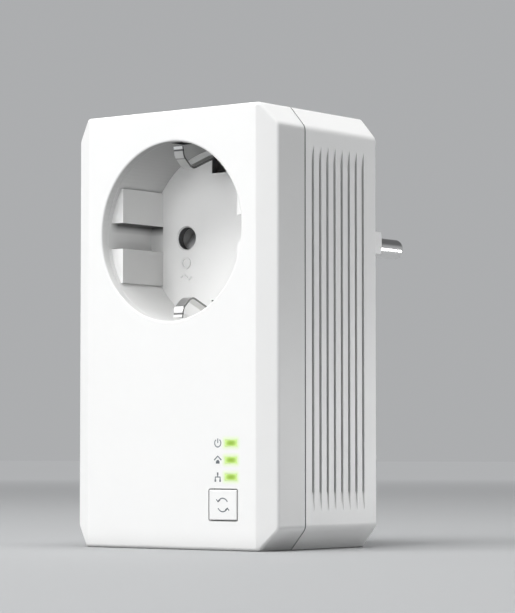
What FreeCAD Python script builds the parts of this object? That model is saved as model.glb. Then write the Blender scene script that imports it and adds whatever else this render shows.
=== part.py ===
import FreeCAD, Part
import math
import os
import re

import Sketcher
from FreeCAD import Placement, Rotation, Vector

# A powerline adapter with a pass-through mains socket, as an assembly of separate pieces.
# Millimetres. The origin is on the common axis of the front socket and the wall plug, where
# the back of the housing meets the wall. +X is right and +Z up as one looks at the front, +Y into the wall.

SIZES = {
    # Housing, outside
    "body_width": 57.0,
    "body_height": 97.5,
    "body_depth": 39.5,
    "top_above_socket": 27.0,
    "seam_from_front": 11.8,
    "corner_run": 4.0,
    "corner_drop": 4.7,
    "side_round": 2.2,
    "edge_round": 0.8,
    "bevel_run": 4.5,
    "bevel_depth": 2.3,
    # Housing, walls and the joint between the two shells
    "shell_wall": 2.2,
    "front_wall": 2.0,
    "back_wall": 2.2,
    "seam_gap": 0.4,
    "seam_gap_depth": 0.7,
    "lip_height": 2.0,
    "lip_thickness": 1.0,
    "lip_clearance": 0.1,
    # Vent slots in each side of the rear shell
    "vent_count": 8,
    "vent_pitch": 2.72,
    "vent_width": 0.9,
    "vent_first_from_front": 14.9,
    "vent_end_margin": 8.4,
    "vent_top_ramp": 15.0,
    "vent_tail": 4.2,
    "vent_tail_depth": 0.5,
    # Housing screws and their columns
    "column_from_side": 5.9,
    "column_from_end": 6.0,
    "front_column_radius": 2.7,
    "rear_column_radius": 4.2,
    "column_joint_depth": 24.5,
    "screw_radius": 1.45,
    "screw_play": 0.05,
    "screw_clearance": 0.25,
    "screw_length": 20.0,
    "screw_head_radius": 2.7,
    "screw_head_height": 1.9,
    "screw_head_sink": 3.2,
    "screw_head_gap": 0.25,
    "screw_bore_spare": 0.6,
    # Front socket
    "socket_radius": 20.0,
    "socket_depth": 17.5,
    "socket_floor": 2.0,
    "socket_mouth_round": 0.4,
    "insert_wall": 1.6,
    "insert_flange": 1.4,
    "insert_flange_thickness": 1.2,
    "insert_mouth_chamfer": 0.2,
    "key_flat": 16.4,
    "key_gap_half": 2.95,
    "key_height_half": 10.75,
    "key_setback": 3.2,
    "pin_pitch": 19.0,
    "pin_radius": 2.4,
    "pin_length": 19.0,
    "pin_hole_play": 0.1,
    "pin_hole_chamfer": 0.35,
    "earth_window_half_width": 2.1,
    "earth_window_from_axis": 14.5,
    # Child-safety shutter behind the pin holes
    "shutter_gap": 0.3,
    "shutter_wing_half_width": 3.3,
    "shutter_ramp_start": 2.9,
    "shutter_ramp_rise": 6.2,
    "shutter_back_thickness": 1.0,
    "shutter_below_axis": 4.0,
    "shutter_bar_height": 2.6,
    "shutter_bar_thickness": 3.6,
    "shutter_travel": 6.4,
    "shutter_side_gap": 0.3,
    "rail_thickness": 1.5,
    "rail_above_axis": 5.0,
    "spring_from_axis": 5.8,
    "spring_coil_radius": 1.4,
    "spring_wire_radius": 0.2,
    "spring_length": 12.4,
    "spring_pitch": 1.9,
    "spring_shelf": 1.2,
    "spring_shelf_half_width": 2.2,
    # Contacts behind the socket
    "carrier_gap": 0.3,
    "carrier_thickness": 1.5,
    "carrier_collar_wall": 1.0,
    "carrier_collar_setback": 1.7,
    "sleeve_wall": 0.65,
    "sleeve_play": 0.03,
    "sleeve_end_gap": 1.6,
    "sleeve_slit": 1.2,
    "sleeve_gap": 0.1,
    "tab_width": 4.0,
    "tab_thickness": 0.6,
    "tab_setback": 0.4,
    "tab_below_board_top": 4.0,
    # Earth clips and straps
    "clip_width": 2.5,
    "clip_thickness": 0.45,
    "clip_bend": 2.0,
    "clip_tip_from_wall": 0.8,
    "clip_tip_depth": 2.95,
    "clip_nose_depth": 3.35,
    "clip_nose_from_axis": 16.9,
    "clip_belly_depth": 6.4,
    "clip_belly_from_axis": 14.4,
    "clip_knee_from_floor": 1.0,
    "clip_knee_from_wall": 1.55,
    "clip_root_from_wall": 1.1,
    "clip_root_behind_floor": 0.4,
    "clip_slot_half_width": 1.75,
    "clip_slot_length": 4.8,
    "clip_hinge_gap": 0.15,
    "strap_width": 5.0,
    "strap_thickness": 0.6,
    "strap_bend": 1.2,
    "link_radius": 1.3,
    # Wall plug
    "plug_radius": 18.5,
    "plug_length": 17.0,
    "plug_play": 0.1,
    "plug_flange": 2.0,
    "plug_flange_thickness": 0.6,
    "plug_flat": 15.7,
    "plug_rib_half": 2.55,
    "plug_key_half": 11.2,
    "plug_key_floor": 1.5,
    "plug_edge_round": 1.0,
    "plug_strap_groove_half": 3.0,
    "plug_strap_from_axis": 15.9,
    "plug_strap_inset": 3.0,
    "pin_root_radius": 2.2,
    "pin_rivet_radius": 1.4,
    "pin_tip_round": 1.6,
    "mould_play": 0.02,
    "earth_hole_from_axis": 10.0,
    "earth_sleeve_radius": 3.1,
    "earth_sleeve_bore": 2.45,
    "earth_sleeve_length": 14.0,
    "earth_sleeve_sink": 0.6,
    # Boards
    "board_thickness": 1.6,
    "board_gap": 1.0,
    "board_edge_gap": 0.5,
    "board_notch_gap": 0.6,
    "main_board_depth": 7.9,
    "post_radius": 2.2,
    "post_from_side": 4.2,
    "post_below_top": 3.5,
    "low_post_from_side": 11.2,
    "low_post_above_base": 3.6,
    "board_screw_radius": 1.1,
    "board_screw_length": 6.0,
    "board_screw_head_radius": 2.1,
    "board_screw_head_height": 1.3,
    "board_screw_play": 0.05,
    "board_hole_clearance": 0.25,
    # Parts on the power board, placed from its edges
    "fuse_radius": 1.8,
    "fuse_length": 9.0,
    "fuse_from_side": 6.7,
    "fuse_drop": 7.8,
    "varistor_radius": 4.4,
    "varistor_thickness": 3.2,
    "varistor_drop": 7.4,
    "mains_capacitor_width": 12.0,
    "mains_capacitor_height": 5.2,
    "mains_capacitor_tall": 10.0,
    "mains_capacitor_from_side": 9.7,
    "mains_capacitor_drop": 8.4,
    "choke_radius": 3.9,
    "choke_section": 1.7,
    "choke_from_side": 9.5,
    "choke_drop": 17.6,
    "choke_turns": 14,
    "choke_wire": 0.3,
    "choke_wire_gap": 0.1,
    "rectifier_width": 8.0,
    "rectifier_height": 6.0,
    "rectifier_tall": 2.5,
    "rectifier_drop": 16.5,
    "transformer_width": 13.0,
    "transformer_height": 12.5,
    "transformer_tall": 12.6,
    "transformer_from_side": 8.5,
    "transformer_drop": 17.4,
    "transformer_leg": 3.0,
    "transformer_yoke": 2.6,
    "transformer_depth": 6.4,
    "winding_gap": 0.15,
    "bulk_capacitor_radius": 3.2,
    "bulk_capacitor_tall": 6.2,
    "bulk_capacitor_from_middle": 4.6,
    "bulk_capacitor_pitch": 6.8,
    "bulk_capacitor_above_base": 4.0,
    "bulk_capacitor_groove": 0.35,
    "coupler_width": 8.0,
    "coupler_height": 8.0,
    "coupler_tall": 6.4,
    "coupler_from_side": 12.1,
    "coupler_above_base": 4.8,
    # Parts on the main board, placed from its edges
    "chip_width": 10.0,
    "chip_thickness": 1.1,
    "chip_from_side": 9.2,
    "chip_drop": 13.5,
    "sink_height": 3.6,
    "sink_base": 1.0,
    "sink_fins": 5,
    "sink_fin_thickness": 0.8,
    "memory_width": 5.4,
    "memory_height": 7.0,
    "memory_thickness": 1.0,
    "memory_from_side": 9.2,
    "memory_drop": 23.5,
    "ethernet_chip_width": 7.0,
    "ethernet_chip_thickness": 0.9,
    "ethernet_chip_from_side": 9.7,
    "ethernet_chip_drop": 14.5,
    "crystal_width": 3.2,
    "crystal_height": 2.5,
    "crystal_thickness": 0.8,
    "crystal_from_side": 9.7,
    "crystal_drop": 23.0,
    "magnetics_width": 15.0,
    "magnetics_height": 9.2,
    "magnetics_thickness": 5.0,
    "magnetics_gap": 1.6,
    "header_pins": 4,
    "header_pitch": 2.54,
    "header_pin_half": 0.32,
    "header_block": 2.4,
    "header_from_side": 2.2,
    "header_drop": 20.0,
    "sheet_thickness": 0.3,
    "sheet_from_side": 5.7,
    "sheet_above_jack": 4.4,
    "sheet_from_power_board": 14.2,
    # Network port in the base
    "jack_half_width": 8.0,
    "jack_thickness": 13.2,
    "jack_length": 20.5,
    "jack_sink": 0.3,
    "jack_opening_half": 5.9,
    "jack_opening_height": 6.9,
    "jack_opening_from_board": 1.7,
    "jack_opening_depth": 14.0,
    "jack_latch_half": 3.2,
    "jack_latch_height": 2.2,
    "shield_thickness": 0.3,
    "port_play": 0.2,
    "contact_wires": 8,
    "contact_pitch": 1.02,
    "contact_wire_width": 0.4,
    "contact_wire_thickness": 0.3,
    "contact_wire_bend": 0.6,
    "contact_wire_rise": 0.5,
    "contact_wire_foot": 1.2,
    "contact_wire_crest": 8.5,
    "contact_wire_lean": 2.07,
    "contact_wire_tip": 10.6,
    # Status lights and the button
    "light_from_side": 11.25,
    "light_above_base": 19.7,
    "light_pitch": 3.7,
    "window_width": 3.3,
    "window_height": 1.4,
    "window_play": 0.05,
    "guide_plate": 1.0,
    "guide_margin": 0.8,
    "guide_gap": 0.3,
    "led_width": 3.0,
    "led_height": 1.2,
    "led_thickness": 1.1,
    "button_from_side": 13.4,
    "button_above_base": 9.95,
    "button_hole_width": 8.2,
    "button_hole_height": 7.1,
    "button_gap": 0.25,
    "button_corner": 0.5,
    "button_proud": 0.15,
    "button_edge_round": 0.3,
    "button_flange": 0.8,
    "button_flange_thickness": 0.8,
    "button_flange_gap": 0.1,
    "button_stem_radius": 1.5,
    "button_stem_gap": 0.1,
    "switch_size": 6.0,
    "switch_height": 3.6,
    "plunger_radius": 1.7,
    "plunger_height": 0.8,
    "plunger_play": 0.1,
    "button_travel": 0.5,
    # Blank label on the back
    "label_width": 30.0,
    "label_height": 20.0,
    "label_thickness": 0.2,
    "label_recess": 0.3,
    "label_play": 0.2,
    "label_below_plug": 7.0,
}

doc = FreeCAD.newDocument("powerline_adapter")
sheet = doc.addObject("Spreadsheet::Sheet", "Sizes")
for row, (alias, number) in enumerate(SIZES.items(), start=1):
    sheet.set(f"A{row}", alias)
    sheet.set(f"B{row}", str(number))
    sheet.setAlias(f"B{row}", alias)
doc.recompute()

# Planes and edges that many pieces share, as expressions on the sheet.
FRONT = "(-body_depth)"
FRONT_INSIDE = "(front_wall-body_depth)"
SEAM = "(seam_from_front-body_depth)"
BACK_INSIDE = "(-back_wall)"
SIDE = "(body_width/2)"
TOP = "top_above_socket"
BASE = "(top_above_socket-body_height)"
LIP_INSET = "(shell_wall+lip_clearance)"
COVER_INSET = "(shell_wall+lip_clearance+lip_thickness)"
COLUMN_X = "(body_width/2-column_from_side)"
COLUMN_TOP = "(top_above_socket-column_from_end)"
COLUMN_LOW = f"({BASE}+column_from_end)"
COLUMN_JOINT = "(column_joint_depth-body_depth)"
FLOOR = "(socket_depth-body_depth)"
FLOOR_BACK = "(socket_depth+socket_floor-body_depth)"
INSERT_RADIUS = "(socket_radius+insert_wall)"
PIN_X = "(pin_pitch/2)"
SHUTTER_FRONT = f"({FLOOR_BACK}+shutter_gap)"
SHUTTER_BACK = f"({SHUTTER_FRONT}+shutter_ramp_rise+shutter_back_thickness)"
SHUTTER_SIDE = f"({PIN_X}+shutter_wing_half_width)"
CARRIER_FRONT = f"({SHUTTER_BACK}+carrier_gap)"
CARRIER_BACK = f"({CARRIER_FRONT}+carrier_thickness)"
SHELF_TOP = "(-shutter_below_axis-spring_length)"
SLEEVE_FRONT = f"({CARRIER_BACK}+sleeve_gap)"
SLEEVE_BACK = "(-back_wall-plug_flange_thickness-sleeve_end_gap)"
SLEEVE_RADIUS = "(pin_radius+sleeve_play+sleeve_wall)"
BOARD_TOP = "(-socket_radius-insert_wall-insert_flange-board_gap)"
BOARD_BASE = f"({BASE}+{COVER_INSET}+board_edge_gap)"
BOARD_SIDE = f"({SIDE}-{COVER_INSET}-board_edge_gap)"
MAIN_FRONT = "(main_board_depth-body_depth)"
MAIN_BACK = f"({MAIN_FRONT}+board_thickness)"
POWER_FRONT = f"({SLEEVE_FRONT}+tab_setback+tab_thickness)"
POWER_BACK = f"({POWER_FRONT}+board_thickness)"
POST_X = f"({SIDE}-post_from_side-lip_thickness-shell_wall)"
POST_TOP = f"({BOARD_TOP}-post_below_top)"
POST_LOW = f"({BOARD_BASE}+low_post_above_base)"
JACK_BACK = f"({MAIN_BACK}+jack_thickness)"
JACK_MOUTH = f"({BASE}+jack_sink)"
JACK_TOP = f"({JACK_MOUTH}+jack_length)"
LIGHT_X = f"({SIDE}-light_from_side)"
LIGHT_Z = f"({BASE}+light_above_base)"
BUTTON_X = f"({SIDE}-button_from_side)"
BUTTON_Z = f"({BASE}+button_above_base)"
FLANGE_BACK = f"({BACK_INSIDE}-plug_flange_thickness)"


def bound(text):
    """An expression with each size's name pointed at its cell in the sheet."""
    return re.sub(r"[a-z][a-z_0-9]*", lambda word: f"Sizes.{word[0]}" if word[0] in SIZES else word[0], text)


def size(alias):
    return float(getattr(sheet, alias))


# ---------------------------------------------------------------- helpers for bodies made from sketches

PLANES = {"front": "XZ_Plane", "top": "XY_Plane", "side": "YZ_Plane"}


def new_body(label):
    body = doc.addObject("PartDesign::Body", label)
    body.Label = label
    return body


def place(item, x="0", y="0", z="0"):
    for axis, distance in zip("xyz", (x, y, z)):
        item.setExpression(f"Placement.Base.{axis}", bound(distance))
    return item


def new_sketch(body, name, plane, offset="0"):
    """A sketch on one of the body's own planes. A front sketch's normal is -Y, a top's +Z, a side's +X."""
    drawing = body.newObject("Sketcher::SketchObject", name)
    origin_plane = [item for item in body.Origin.OriginFeatures if item.Role == PLANES[plane]][0]
    drawing.AttachmentSupport = (origin_plane, [""])
    drawing.MapMode = "FlatFace"
    drawing.setExpression("AttachmentOffset.Base.z", bound(offset))
    return drawing


def hold_point(drawing, curve, end, spot):
    for kind, distance in zip(("DistanceX", "DistanceY"), spot):
        number = drawing.addConstraint(Sketcher.Constraint(kind, -1, 1, curve, end, 1.0))
        drawing.setExpression(f"Constraints[{number}]", bound(distance))


def draw_polygon(drawing, corners):
    first = drawing.GeometryCount
    count = len(corners)
    turns = [2 * math.pi * i / count for i in range(count)]
    spots = [Vector(math.cos(turn), math.sin(turn)) for turn in turns]
    for i in range(count):
        drawing.addGeometry(Part.LineSegment(spots[i], spots[(i + 1) % count]), False)
    for i in range(count):
        drawing.addConstraint(Sketcher.Constraint("Coincident", first + i, 2, first + (i + 1) % count, 1))
    for i, corner in enumerate(corners):
        hold_point(drawing, first + i, 1, corner)
    return drawing


def draw_rectangle(drawing, low, high):
    return draw_polygon(drawing, [low, (high[0], low[1]), high, (low[0], high[1])])


def draw_circle(drawing, centre, radius):
    curve = drawing.addGeometry(Part.Circle(Vector(0, 0, 0), Vector(0, 0, 1), 1.0), False)
    hold_point(drawing, curve, 3, centre)
    number = drawing.addConstraint(Sketcher.Constraint("Radius", curve, 1.0))
    drawing.setExpression(f"Constraints[{number}]", bound(radius))
    return drawing


def pad(body, drawing, length, along=True):
    """Adds the sketch's area, along its normal or against it."""
    feature = body.newObject("PartDesign::Pad", drawing.Name + "_pad")
    feature.Profile = drawing
    feature.Reversed = not along
    feature.setExpression("Length", bound(length))
    drawing.Visibility = False
    return feature


def pocket(body, drawing, length, along=True):
    """Takes the sketch's area away, along its normal or against it, and makes sure that it did."""
    doc.recompute()
    before = body.Shape.Volume
    feature = body.newObject("PartDesign::Pocket", drawing.Name + "_pocket")
    feature.Profile = drawing
    feature.Reversed = along
    feature.setExpression("Length", bound(length))
    doc.recompute()
    if body.Shape.Volume >= before:
        raise RuntimeError(f"{feature.Name} removes nothing")
    return feature


def revolve(body, drawing):
    feature = body.newObject("PartDesign::Revolution", drawing.Name + "_turned")
    feature.Profile = drawing
    feature.ReferenceAxis = (drawing, ["V_Axis"])
    feature.Angle = 360
    return feature


def dress(body, kind, name, edge_test, amount):
    """A Fillet or Chamfer on those edges of the body that edge_test picks."""
    doc.recompute()
    base = body.Tip
    picked = [f"Edge{i}" for i, edge in enumerate(base.Shape.Edges, start=1) if edge_test(edge)]
    if not picked:
        raise RuntimeError(f"{name} finds no edge")
    feature = body.newObject(f"PartDesign::{kind}", name)
    feature.Base = (base, picked)
    feature.setExpression("Radius" if kind == "Fillet" else "Size", bound(amount))
    return feature


def is_near(first, second):
    return abs(first - second) < 0.001


def straight_along(edge, axis):
    """True if the edge is a straight line along the axis named."""
    box = edge.BoundBox
    spans = {"x": box.XLength, "y": box.YLength, "z": box.ZLength}
    across = [span for name, span in spans.items() if name != axis]
    return spans[axis] > 0.01 and max(across) < 0.001


def flat_at_y(edge, level):
    return is_near(edge.BoundBox.YMin, level) and is_near(edge.BoundBox.YMax, level)


# ---------------------------------------------------------------- helpers for pieces made from primitives

def block(name, x, y, z):
    """A box between two expressions on each axis."""
    item = doc.addObject("Part::Box", name)
    for edge, (low, high) in zip(("Length", "Width", "Height"), (x, y, z)):
        item.setExpression(edge, bound(f"({high})-({low})"))
    return place(item, x[0], y[0], z[0])


def rod(name, radius, start, length, axis="y"):
    """A cylinder from a start point along +X, +Y or +Z."""
    item = doc.addObject("Part::Cylinder", name)
    turned = {"x": Rotation(Vector(0, 1, 0), 90), "y": Rotation(Vector(1, 0, 0), -90), "z": Rotation()}
    item.Placement = Placement(Vector(0, 0, 0), turned[axis])
    item.setExpression("Radius", bound(radius))
    item.setExpression("Height", bound(length))
    return place(item, *start)


def cut(name, base, tool):
    item = doc.addObject("Part::Cut", name)
    item.Base = base
    item.Tool = tool
    return item


def fuse(name, pieces):
    item = doc.addObject("Part::MultiFuse", name)
    item.Shapes = pieces
    return item


def group(name, pieces):
    """Separate solids that share one node."""
    item = doc.addObject("Part::Compound", name)
    item.Links = pieces
    return item


def strip_side(points, bend, shift):
    """One side of a bent strip: straight runs joined by tangent arcs, shifted to the left."""
    curves = []
    runs = [(after - before).normalize() for before, after in zip(points, points[1:])]
    lefts = [Vector(0, -run.z, run.y) for run in runs]
    start = points[0] + lefts[0] * shift
    for i in range(1, len(points) - 1):
        turn = lefts[i - 1].dot(runs[i])
        side = 1 if turn > 0 else -1
        half = runs[i - 1].getAngle(runs[i]) / 2
        reach = bend * math.tan(half)
        centre = points[i] - runs[i - 1] * reach + lefts[i - 1] * bend * side
        radius = bend - shift * side
        middle = (lefts[i - 1] + lefts[i]).normalize()
        enter = points[i] - runs[i - 1] * reach + lefts[i - 1] * shift
        leave = points[i] + runs[i] * reach + lefts[i] * shift
        curves.append(Part.LineSegment(start, enter).toShape())
        curves.append(Part.Arc(enter, centre - middle * radius * side, leave).toShape())
        start = leave
    end = points[-1] + lefts[-1] * shift
    curves.append(Part.LineSegment(start, end).toShape())
    return curves, points[0] + lefts[0] * shift, end


def bent_strip(path, bend, thickness, width):
    """A strip of sheet metal bent along (y, z) points and centred on x = 0."""
    points = [Vector(-width / 2, y, z) for y, z in path]
    left, left_start, left_end = strip_side(points, bend, thickness / 2)
    right, right_start, right_end = strip_side(points, bend, -thickness / 2)
    caps = [Part.LineSegment(a, b).toShape() for a, b in ((left_end, right_end), (left_start, right_start))]
    outline = Part.Wire(Part.__sortEdges__(left + right + caps))
    return Part.Face(outline).extrude(Vector(width, 0, 0))


def feature(label, shape, spot=Vector(0, 0, 0)):
    item = doc.addObject("Part::Feature", label)
    item.Shape = shape
    item.Placement = Placement(spot, Rotation())
    return item


# ---------------------------------------------------------------- housing

def body_outline(inset):
    """The corners of the housing's section, moved in all round by inset."""
    slant = "sqrt(corner_run^2+corner_drop^2)"
    run = f"(corner_run+{inset}*(({slant}-corner_run)/corner_drop-1))"
    drop = f"(corner_drop+{inset}*(({slant}-corner_drop)/corner_run-1))"
    side = f"({SIDE}-{inset})"
    top = f"({TOP}-{inset})"
    base = f"({BASE}+{inset})"
    return [
        (f"{side}-{run}", base), (side, f"{base}+{drop}"), (side, f"{top}-{drop}"), (f"{side}-{run}", top),
        (f"-{side}+{run}", top), (f"-{side}", f"{top}-{drop}"), (f"-{side}", f"{base}+{drop}"),
        (f"-{side}+{run}", base),
    ]


def section_sketch(body, name, y, *insets):
    """The housing's section, or a ring between two insets, in the plane at y."""
    drawing = new_sketch(body, name, "front", f"-({y})")
    for inset in insets:
        draw_polygon(drawing, body_outline(inset))
    return drawing


BOARD_BORE = "board_screw_radius+board_screw_play"
COLUMN_PLACES = [(x, z) for x in (COLUMN_X, f"-{COLUMN_X}") for z in (COLUMN_TOP, COLUMN_LOW)]
LOW_POST = (f"-({BOARD_SIDE}-low_post_from_side)", POST_LOW)
POST_PLACES = [(POST_X, POST_TOP), (f"-{POST_X}", POST_TOP), LOW_POST]


def circles(body, name, y, places, radius):
    """Equal circles in the plane at y, for columns, posts and the bores in them."""
    drawing = new_sketch(body, name, "front", f"-({y})")
    for spot in places:
        draw_circle(drawing, spot, radius)
    return drawing


def port_cut(body, name):
    """The network port's hole through the base wall, for the shield's outline."""
    drawing = new_sketch(body, name, "top", f"{BASE}-1")
    half = "jack_half_width+shield_thickness+port_play"
    draw_rectangle(drawing, (f"-({half})", f"{MAIN_BACK}-port_play"),
                   (half, f"{JACK_BACK}+shield_thickness+port_play"))
    pocket(body, drawing, f"{COVER_INSET}+1")


def round_shell(body, name, joint):
    """Rounds a shell's outside, more along its sides, but not where the shells meet at y = joint."""
    side = size("body_width") / 2
    dress(body, "Fillet", name + "_side_edges",
          lambda edge: straight_along(edge, "y") and is_near(abs(edge.CenterOfMass.x), side),
          "side_round")
    dress(body, "Fillet", name + "_edges", lambda edge: not flat_at_y(edge, joint), "edge_round")


def make_front_cover():
    body = new_body("front_cover")
    pad(body, section_sketch(body, "cover_section", SEAM, "0"), "seam_from_front")
    bevels = new_sketch(body, "cover_bevels", "top", f"{TOP}+1")
    for sign in ("", "-"):
        draw_polygon(bevels, [
            (f"{sign}({SIDE}-bevel_run)", FRONT), (f"{sign}({SIDE}+1)", FRONT),
            (f"{sign}({SIDE}+1)", f"{FRONT}+bevel_depth*(bevel_run+1)/bevel_run"),
        ])
    pocket(body, bevels, "body_height+2", along=False)
    front = -size("body_depth")
    seam = front + size("seam_from_front")
    round_shell(body, "cover", seam)
    cavity = section_sketch(body, "cover_cavity", SEAM, COVER_INSET)
    pocket(body, cavity, "seam_from_front-front_wall")
    lip = section_sketch(body, "cover_lip", SEAM, LIP_INSET, COVER_INSET)
    pad(body, lip, "lip_height", along=False)
    columns = circles(body, "cover_columns", FRONT_INSIDE, COLUMN_PLACES, "front_column_radius")
    pad(body, columns, f"{COLUMN_JOINT}-{FRONT_INSIDE}", along=False)
    bores = circles(body, "cover_bores", COLUMN_JOINT, COLUMN_PLACES, "screw_radius+screw_play")
    pocket(body, bores, f"screw_length+screw_head_sink+screw_bore_spare+{COLUMN_JOINT}")
    posts = circles(body, "cover_posts", FRONT_INSIDE, POST_PLACES, "post_radius")
    pad(body, posts, f"{MAIN_FRONT}-{FRONT_INSIDE}", along=False)
    post_bores = circles(body, "cover_post_bores", MAIN_FRONT, POST_PLACES, BOARD_BORE)
    pocket(body, post_bores, "board_screw_length-board_thickness+board_screw_play")
    hole = new_sketch(body, "cover_socket_hole", "front", f"-{FRONT_INSIDE}")
    draw_circle(hole, ("0", "0"), "socket_radius")
    pocket(body, hole, "front_wall")
    windows = new_sketch(body, "cover_windows", "front", f"-{FRONT_INSIDE}")
    for step in (-1, 0, 1):
        draw_rectangle(
            windows,
            (f"{LIGHT_X}-window_width/2", f"{LIGHT_Z}+light_pitch*({step})-window_height/2"),
            (f"{LIGHT_X}+window_width/2", f"{LIGHT_Z}+light_pitch*({step})+window_height/2"),
        )
    pocket(body, windows, "front_wall")
    opening = new_sketch(body, "cover_button_hole", "front", f"-{FRONT_INSIDE}")
    draw_rectangle(
        opening,
        (f"{BUTTON_X}-button_hole_width/2", f"{BUTTON_Z}-button_hole_height/2"),
        (f"{BUTTON_X}+button_hole_width/2", f"{BUTTON_Z}+button_hole_height/2"),
    )
    pocket(body, opening, "front_wall")
    middle = size("body_width") / 2 - size("button_from_side")
    side = middle + size("button_hole_width") / 2
    other_side = middle - size("button_hole_width") / 2
    dress(body, "Fillet", "cover_button_corners",
          lambda edge: straight_along(edge, "y") and (is_near(edge.CenterOfMass.x, side)
                                                      or is_near(edge.CenterOfMass.x, other_side))
          and edge.CenterOfMass.y < size("front_wall") - size("body_depth"), "button_corner")
    port_cut(body, "cover_port")
    mouth = size("socket_radius")
    dress(body, "Fillet", "cover_mouth",
          lambda edge: flat_at_y(edge, front) and is_near(edge.BoundBox.XMax, mouth), "socket_mouth_round")
    return body


def make_rear_housing():
    body = new_body("rear_housing")
    pad(body, section_sketch(body, "rear_section", "0", "0"), f"-({SEAM})-seam_gap")
    joint = size("seam_from_front") + size("seam_gap") - size("body_depth")
    round_shell(body, "rear", joint)
    step = section_sketch(body, "rear_step", f"{SEAM}+seam_gap", "seam_gap_depth")
    pad(body, step, "seam_gap")
    cavity = section_sketch(body, "rear_cavity", BACK_INSIDE, "shell_wall")
    pocket(body, cavity, f"{BACK_INSIDE}-{SEAM}")
    columns = circles(body, "rear_columns", BACK_INSIDE, COLUMN_PLACES, "rear_column_radius")
    pad(body, columns, f"{BACK_INSIDE}-{COLUMN_JOINT}")
    bores = circles(body, "rear_bores", COLUMN_JOINT, COLUMN_PLACES, "screw_radius+screw_clearance")
    pocket(body, bores, f"-{COLUMN_JOINT}", along=False)
    heads = circles(body, "rear_counterbores", "0", COLUMN_PLACES, "screw_head_radius+screw_head_gap")
    pocket(body, heads, "screw_head_sink")
    posts = circles(body, "rear_posts", BACK_INSIDE, POST_PLACES, "post_radius")
    pad(body, posts, f"{BACK_INSIDE}-{POWER_BACK}")
    post_bores = circles(body, "rear_post_bores", POWER_BACK, POST_PLACES, BOARD_BORE)
    pocket(body, post_bores, "board_screw_length-board_thickness+board_screw_play", along=False)
    hole = new_sketch(body, "rear_plug_hole", "front", "0")
    draw_circle(hole, ("0", "0"), "plug_radius+plug_play")
    pocket(body, hole, "back_wall")
    label = new_sketch(body, "rear_label_recess", "front", "0")
    half = "(label_width/2+label_play)"
    top = "(-plug_radius-label_below_plug)"
    draw_rectangle(label, (f"-{half}", f"{top}-label_height-2*label_play"), (half, top))
    pocket(body, label, "label_recess")
    port_cut(body, "rear_port")
    cut_vents(body)
    return body


def vent_profile(sign):
    """One vent from the side: a ramp down from the top, a slot through the wall, and a shallow tail."""
    outside = f"{sign}({SIDE}+1)"
    face = f"{sign}{SIDE}"
    inside = f"{sign}({SIDE}-shell_wall-0.5)"
    top = f"({TOP}-vent_end_margin)"
    base = f"({BASE}+vent_end_margin)"
    return [
        (outside, top), (face, top), (inside, f"{top}-vent_top_ramp"), (inside, f"{base}+vent_tail"),
        (f"{sign}({SIDE}-vent_tail_depth)", f"{base}+vent_tail"), (face, base), (outside, base),
    ]


def cut_vents(body):
    """The first vent on each side, repeated towards the back."""
    vents = new_sketch(body, "rear_vents", "front", "body_depth-vent_first_from_front+vent_width/2")
    for sign in ("", "-"):
        draw_polygon(vents, vent_profile(sign))
    first = pocket(body, vents, "vent_width", along=False)
    row = body.newObject("PartDesign::LinearPattern", "rear_vent_row")
    row.Originals = [first]
    row.Direction = (vents, ["N_Axis"])
    row.Reversed = True
    row.setExpression("Length", bound("vent_pitch*(vent_count-1)"))
    row.setExpression("Occurrences", bound("vent_count"))
    body.Tip = row
    return row


def make_screw(label, radius, length, head_radius, head_height):
    """A pan-head screw with its head towards -Y and the underside of the head at y = 0."""
    body = new_body(label)
    drawing = new_sketch(body, label + "_profile", "top")
    draw_polygon(drawing, [
        ("0", length), (f"{radius}*0.6", length), (radius, f"{length}-{radius}"), (radius, "0"),
        (head_radius, "0"), (head_radius, f"-{head_height}*0.5"), (f"{head_radius}*0.7", f"-{head_height}"),
        ("0", f"-{head_height}"),
    ])
    revolve(body, drawing)
    recess = new_sketch(body, label + "_recess", "front", head_height)
    arm = f"{head_radius}*0.55"
    half = f"{head_radius}*0.13"
    draw_polygon(recess, [
        (f"-{arm}", f"-{half}"), (f"-{half}", f"-{half}"), (f"-{half}", f"-{arm}"), (half, f"-{arm}"),
        (half, f"-{half}"), (arm, f"-{half}"), (arm, half), (half, half), (half, arm), (f"-{half}", arm),
        (f"-{half}", half), (f"-{arm}", half),
    ])
    pocket(body, recess, f"{head_height}*0.6", along=False)
    return body


HALF_TURN = Rotation(Vector(0, 0, 1), 180)


def turned_copy(pattern, rotation=Rotation()):
    copy = doc.addObject("App::Link", pattern.Label + "_copy")
    copy.LinkedObject = pattern
    copy.LinkTransform = False
    copy.Placement = Placement(Vector(0, 0, 0), rotation)
    return copy


def make_housing_screws():
    pattern = make_screw("housing_screw", "screw_radius", "screw_length",
                         "screw_head_radius", "screw_head_height")
    copies = []
    for x, z in COLUMN_PLACES:
        copies.append(place(turned_copy(pattern, HALF_TURN), x, "-screw_head_sink", z))
    return group("housing_screws", copies)


def make_label():
    top = "(-plug_radius-label_below_plug-label_play)"
    return block("blank_label", ("-label_width/2", "label_width/2"),
                 ("-label_recess", "label_thickness-label_recess"), (f"{top}-label_height", top))


# ---------------------------------------------------------------- front socket

RAIL_INSIDE = f"({SHUTTER_SIDE}+shutter_side_gap)"
RAIL_BASE = "(-shutter_below_axis-shutter_travel-rail_thickness)"
PIN_PLACES = [(PIN_X, "0"), (f"-{PIN_X}", "0")]


def key_outline(side, end):
    """One guide key's section. Its back follows a circle in the middle of the cup's wall."""
    ring = "(socket_radius+insert_wall/2)"
    levels = ("key_gap_half", "((key_gap_half+key_height_half)/2)", "key_height_half")
    backs = [(f"{side}sqrt({ring}^2-{z}^2)", f"{end}{z}") for z in levels]
    return [(f"{side}key_flat", f"{end}key_gap_half"), *backs, (f"{side}key_flat", f"{end}key_height_half")]


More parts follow.
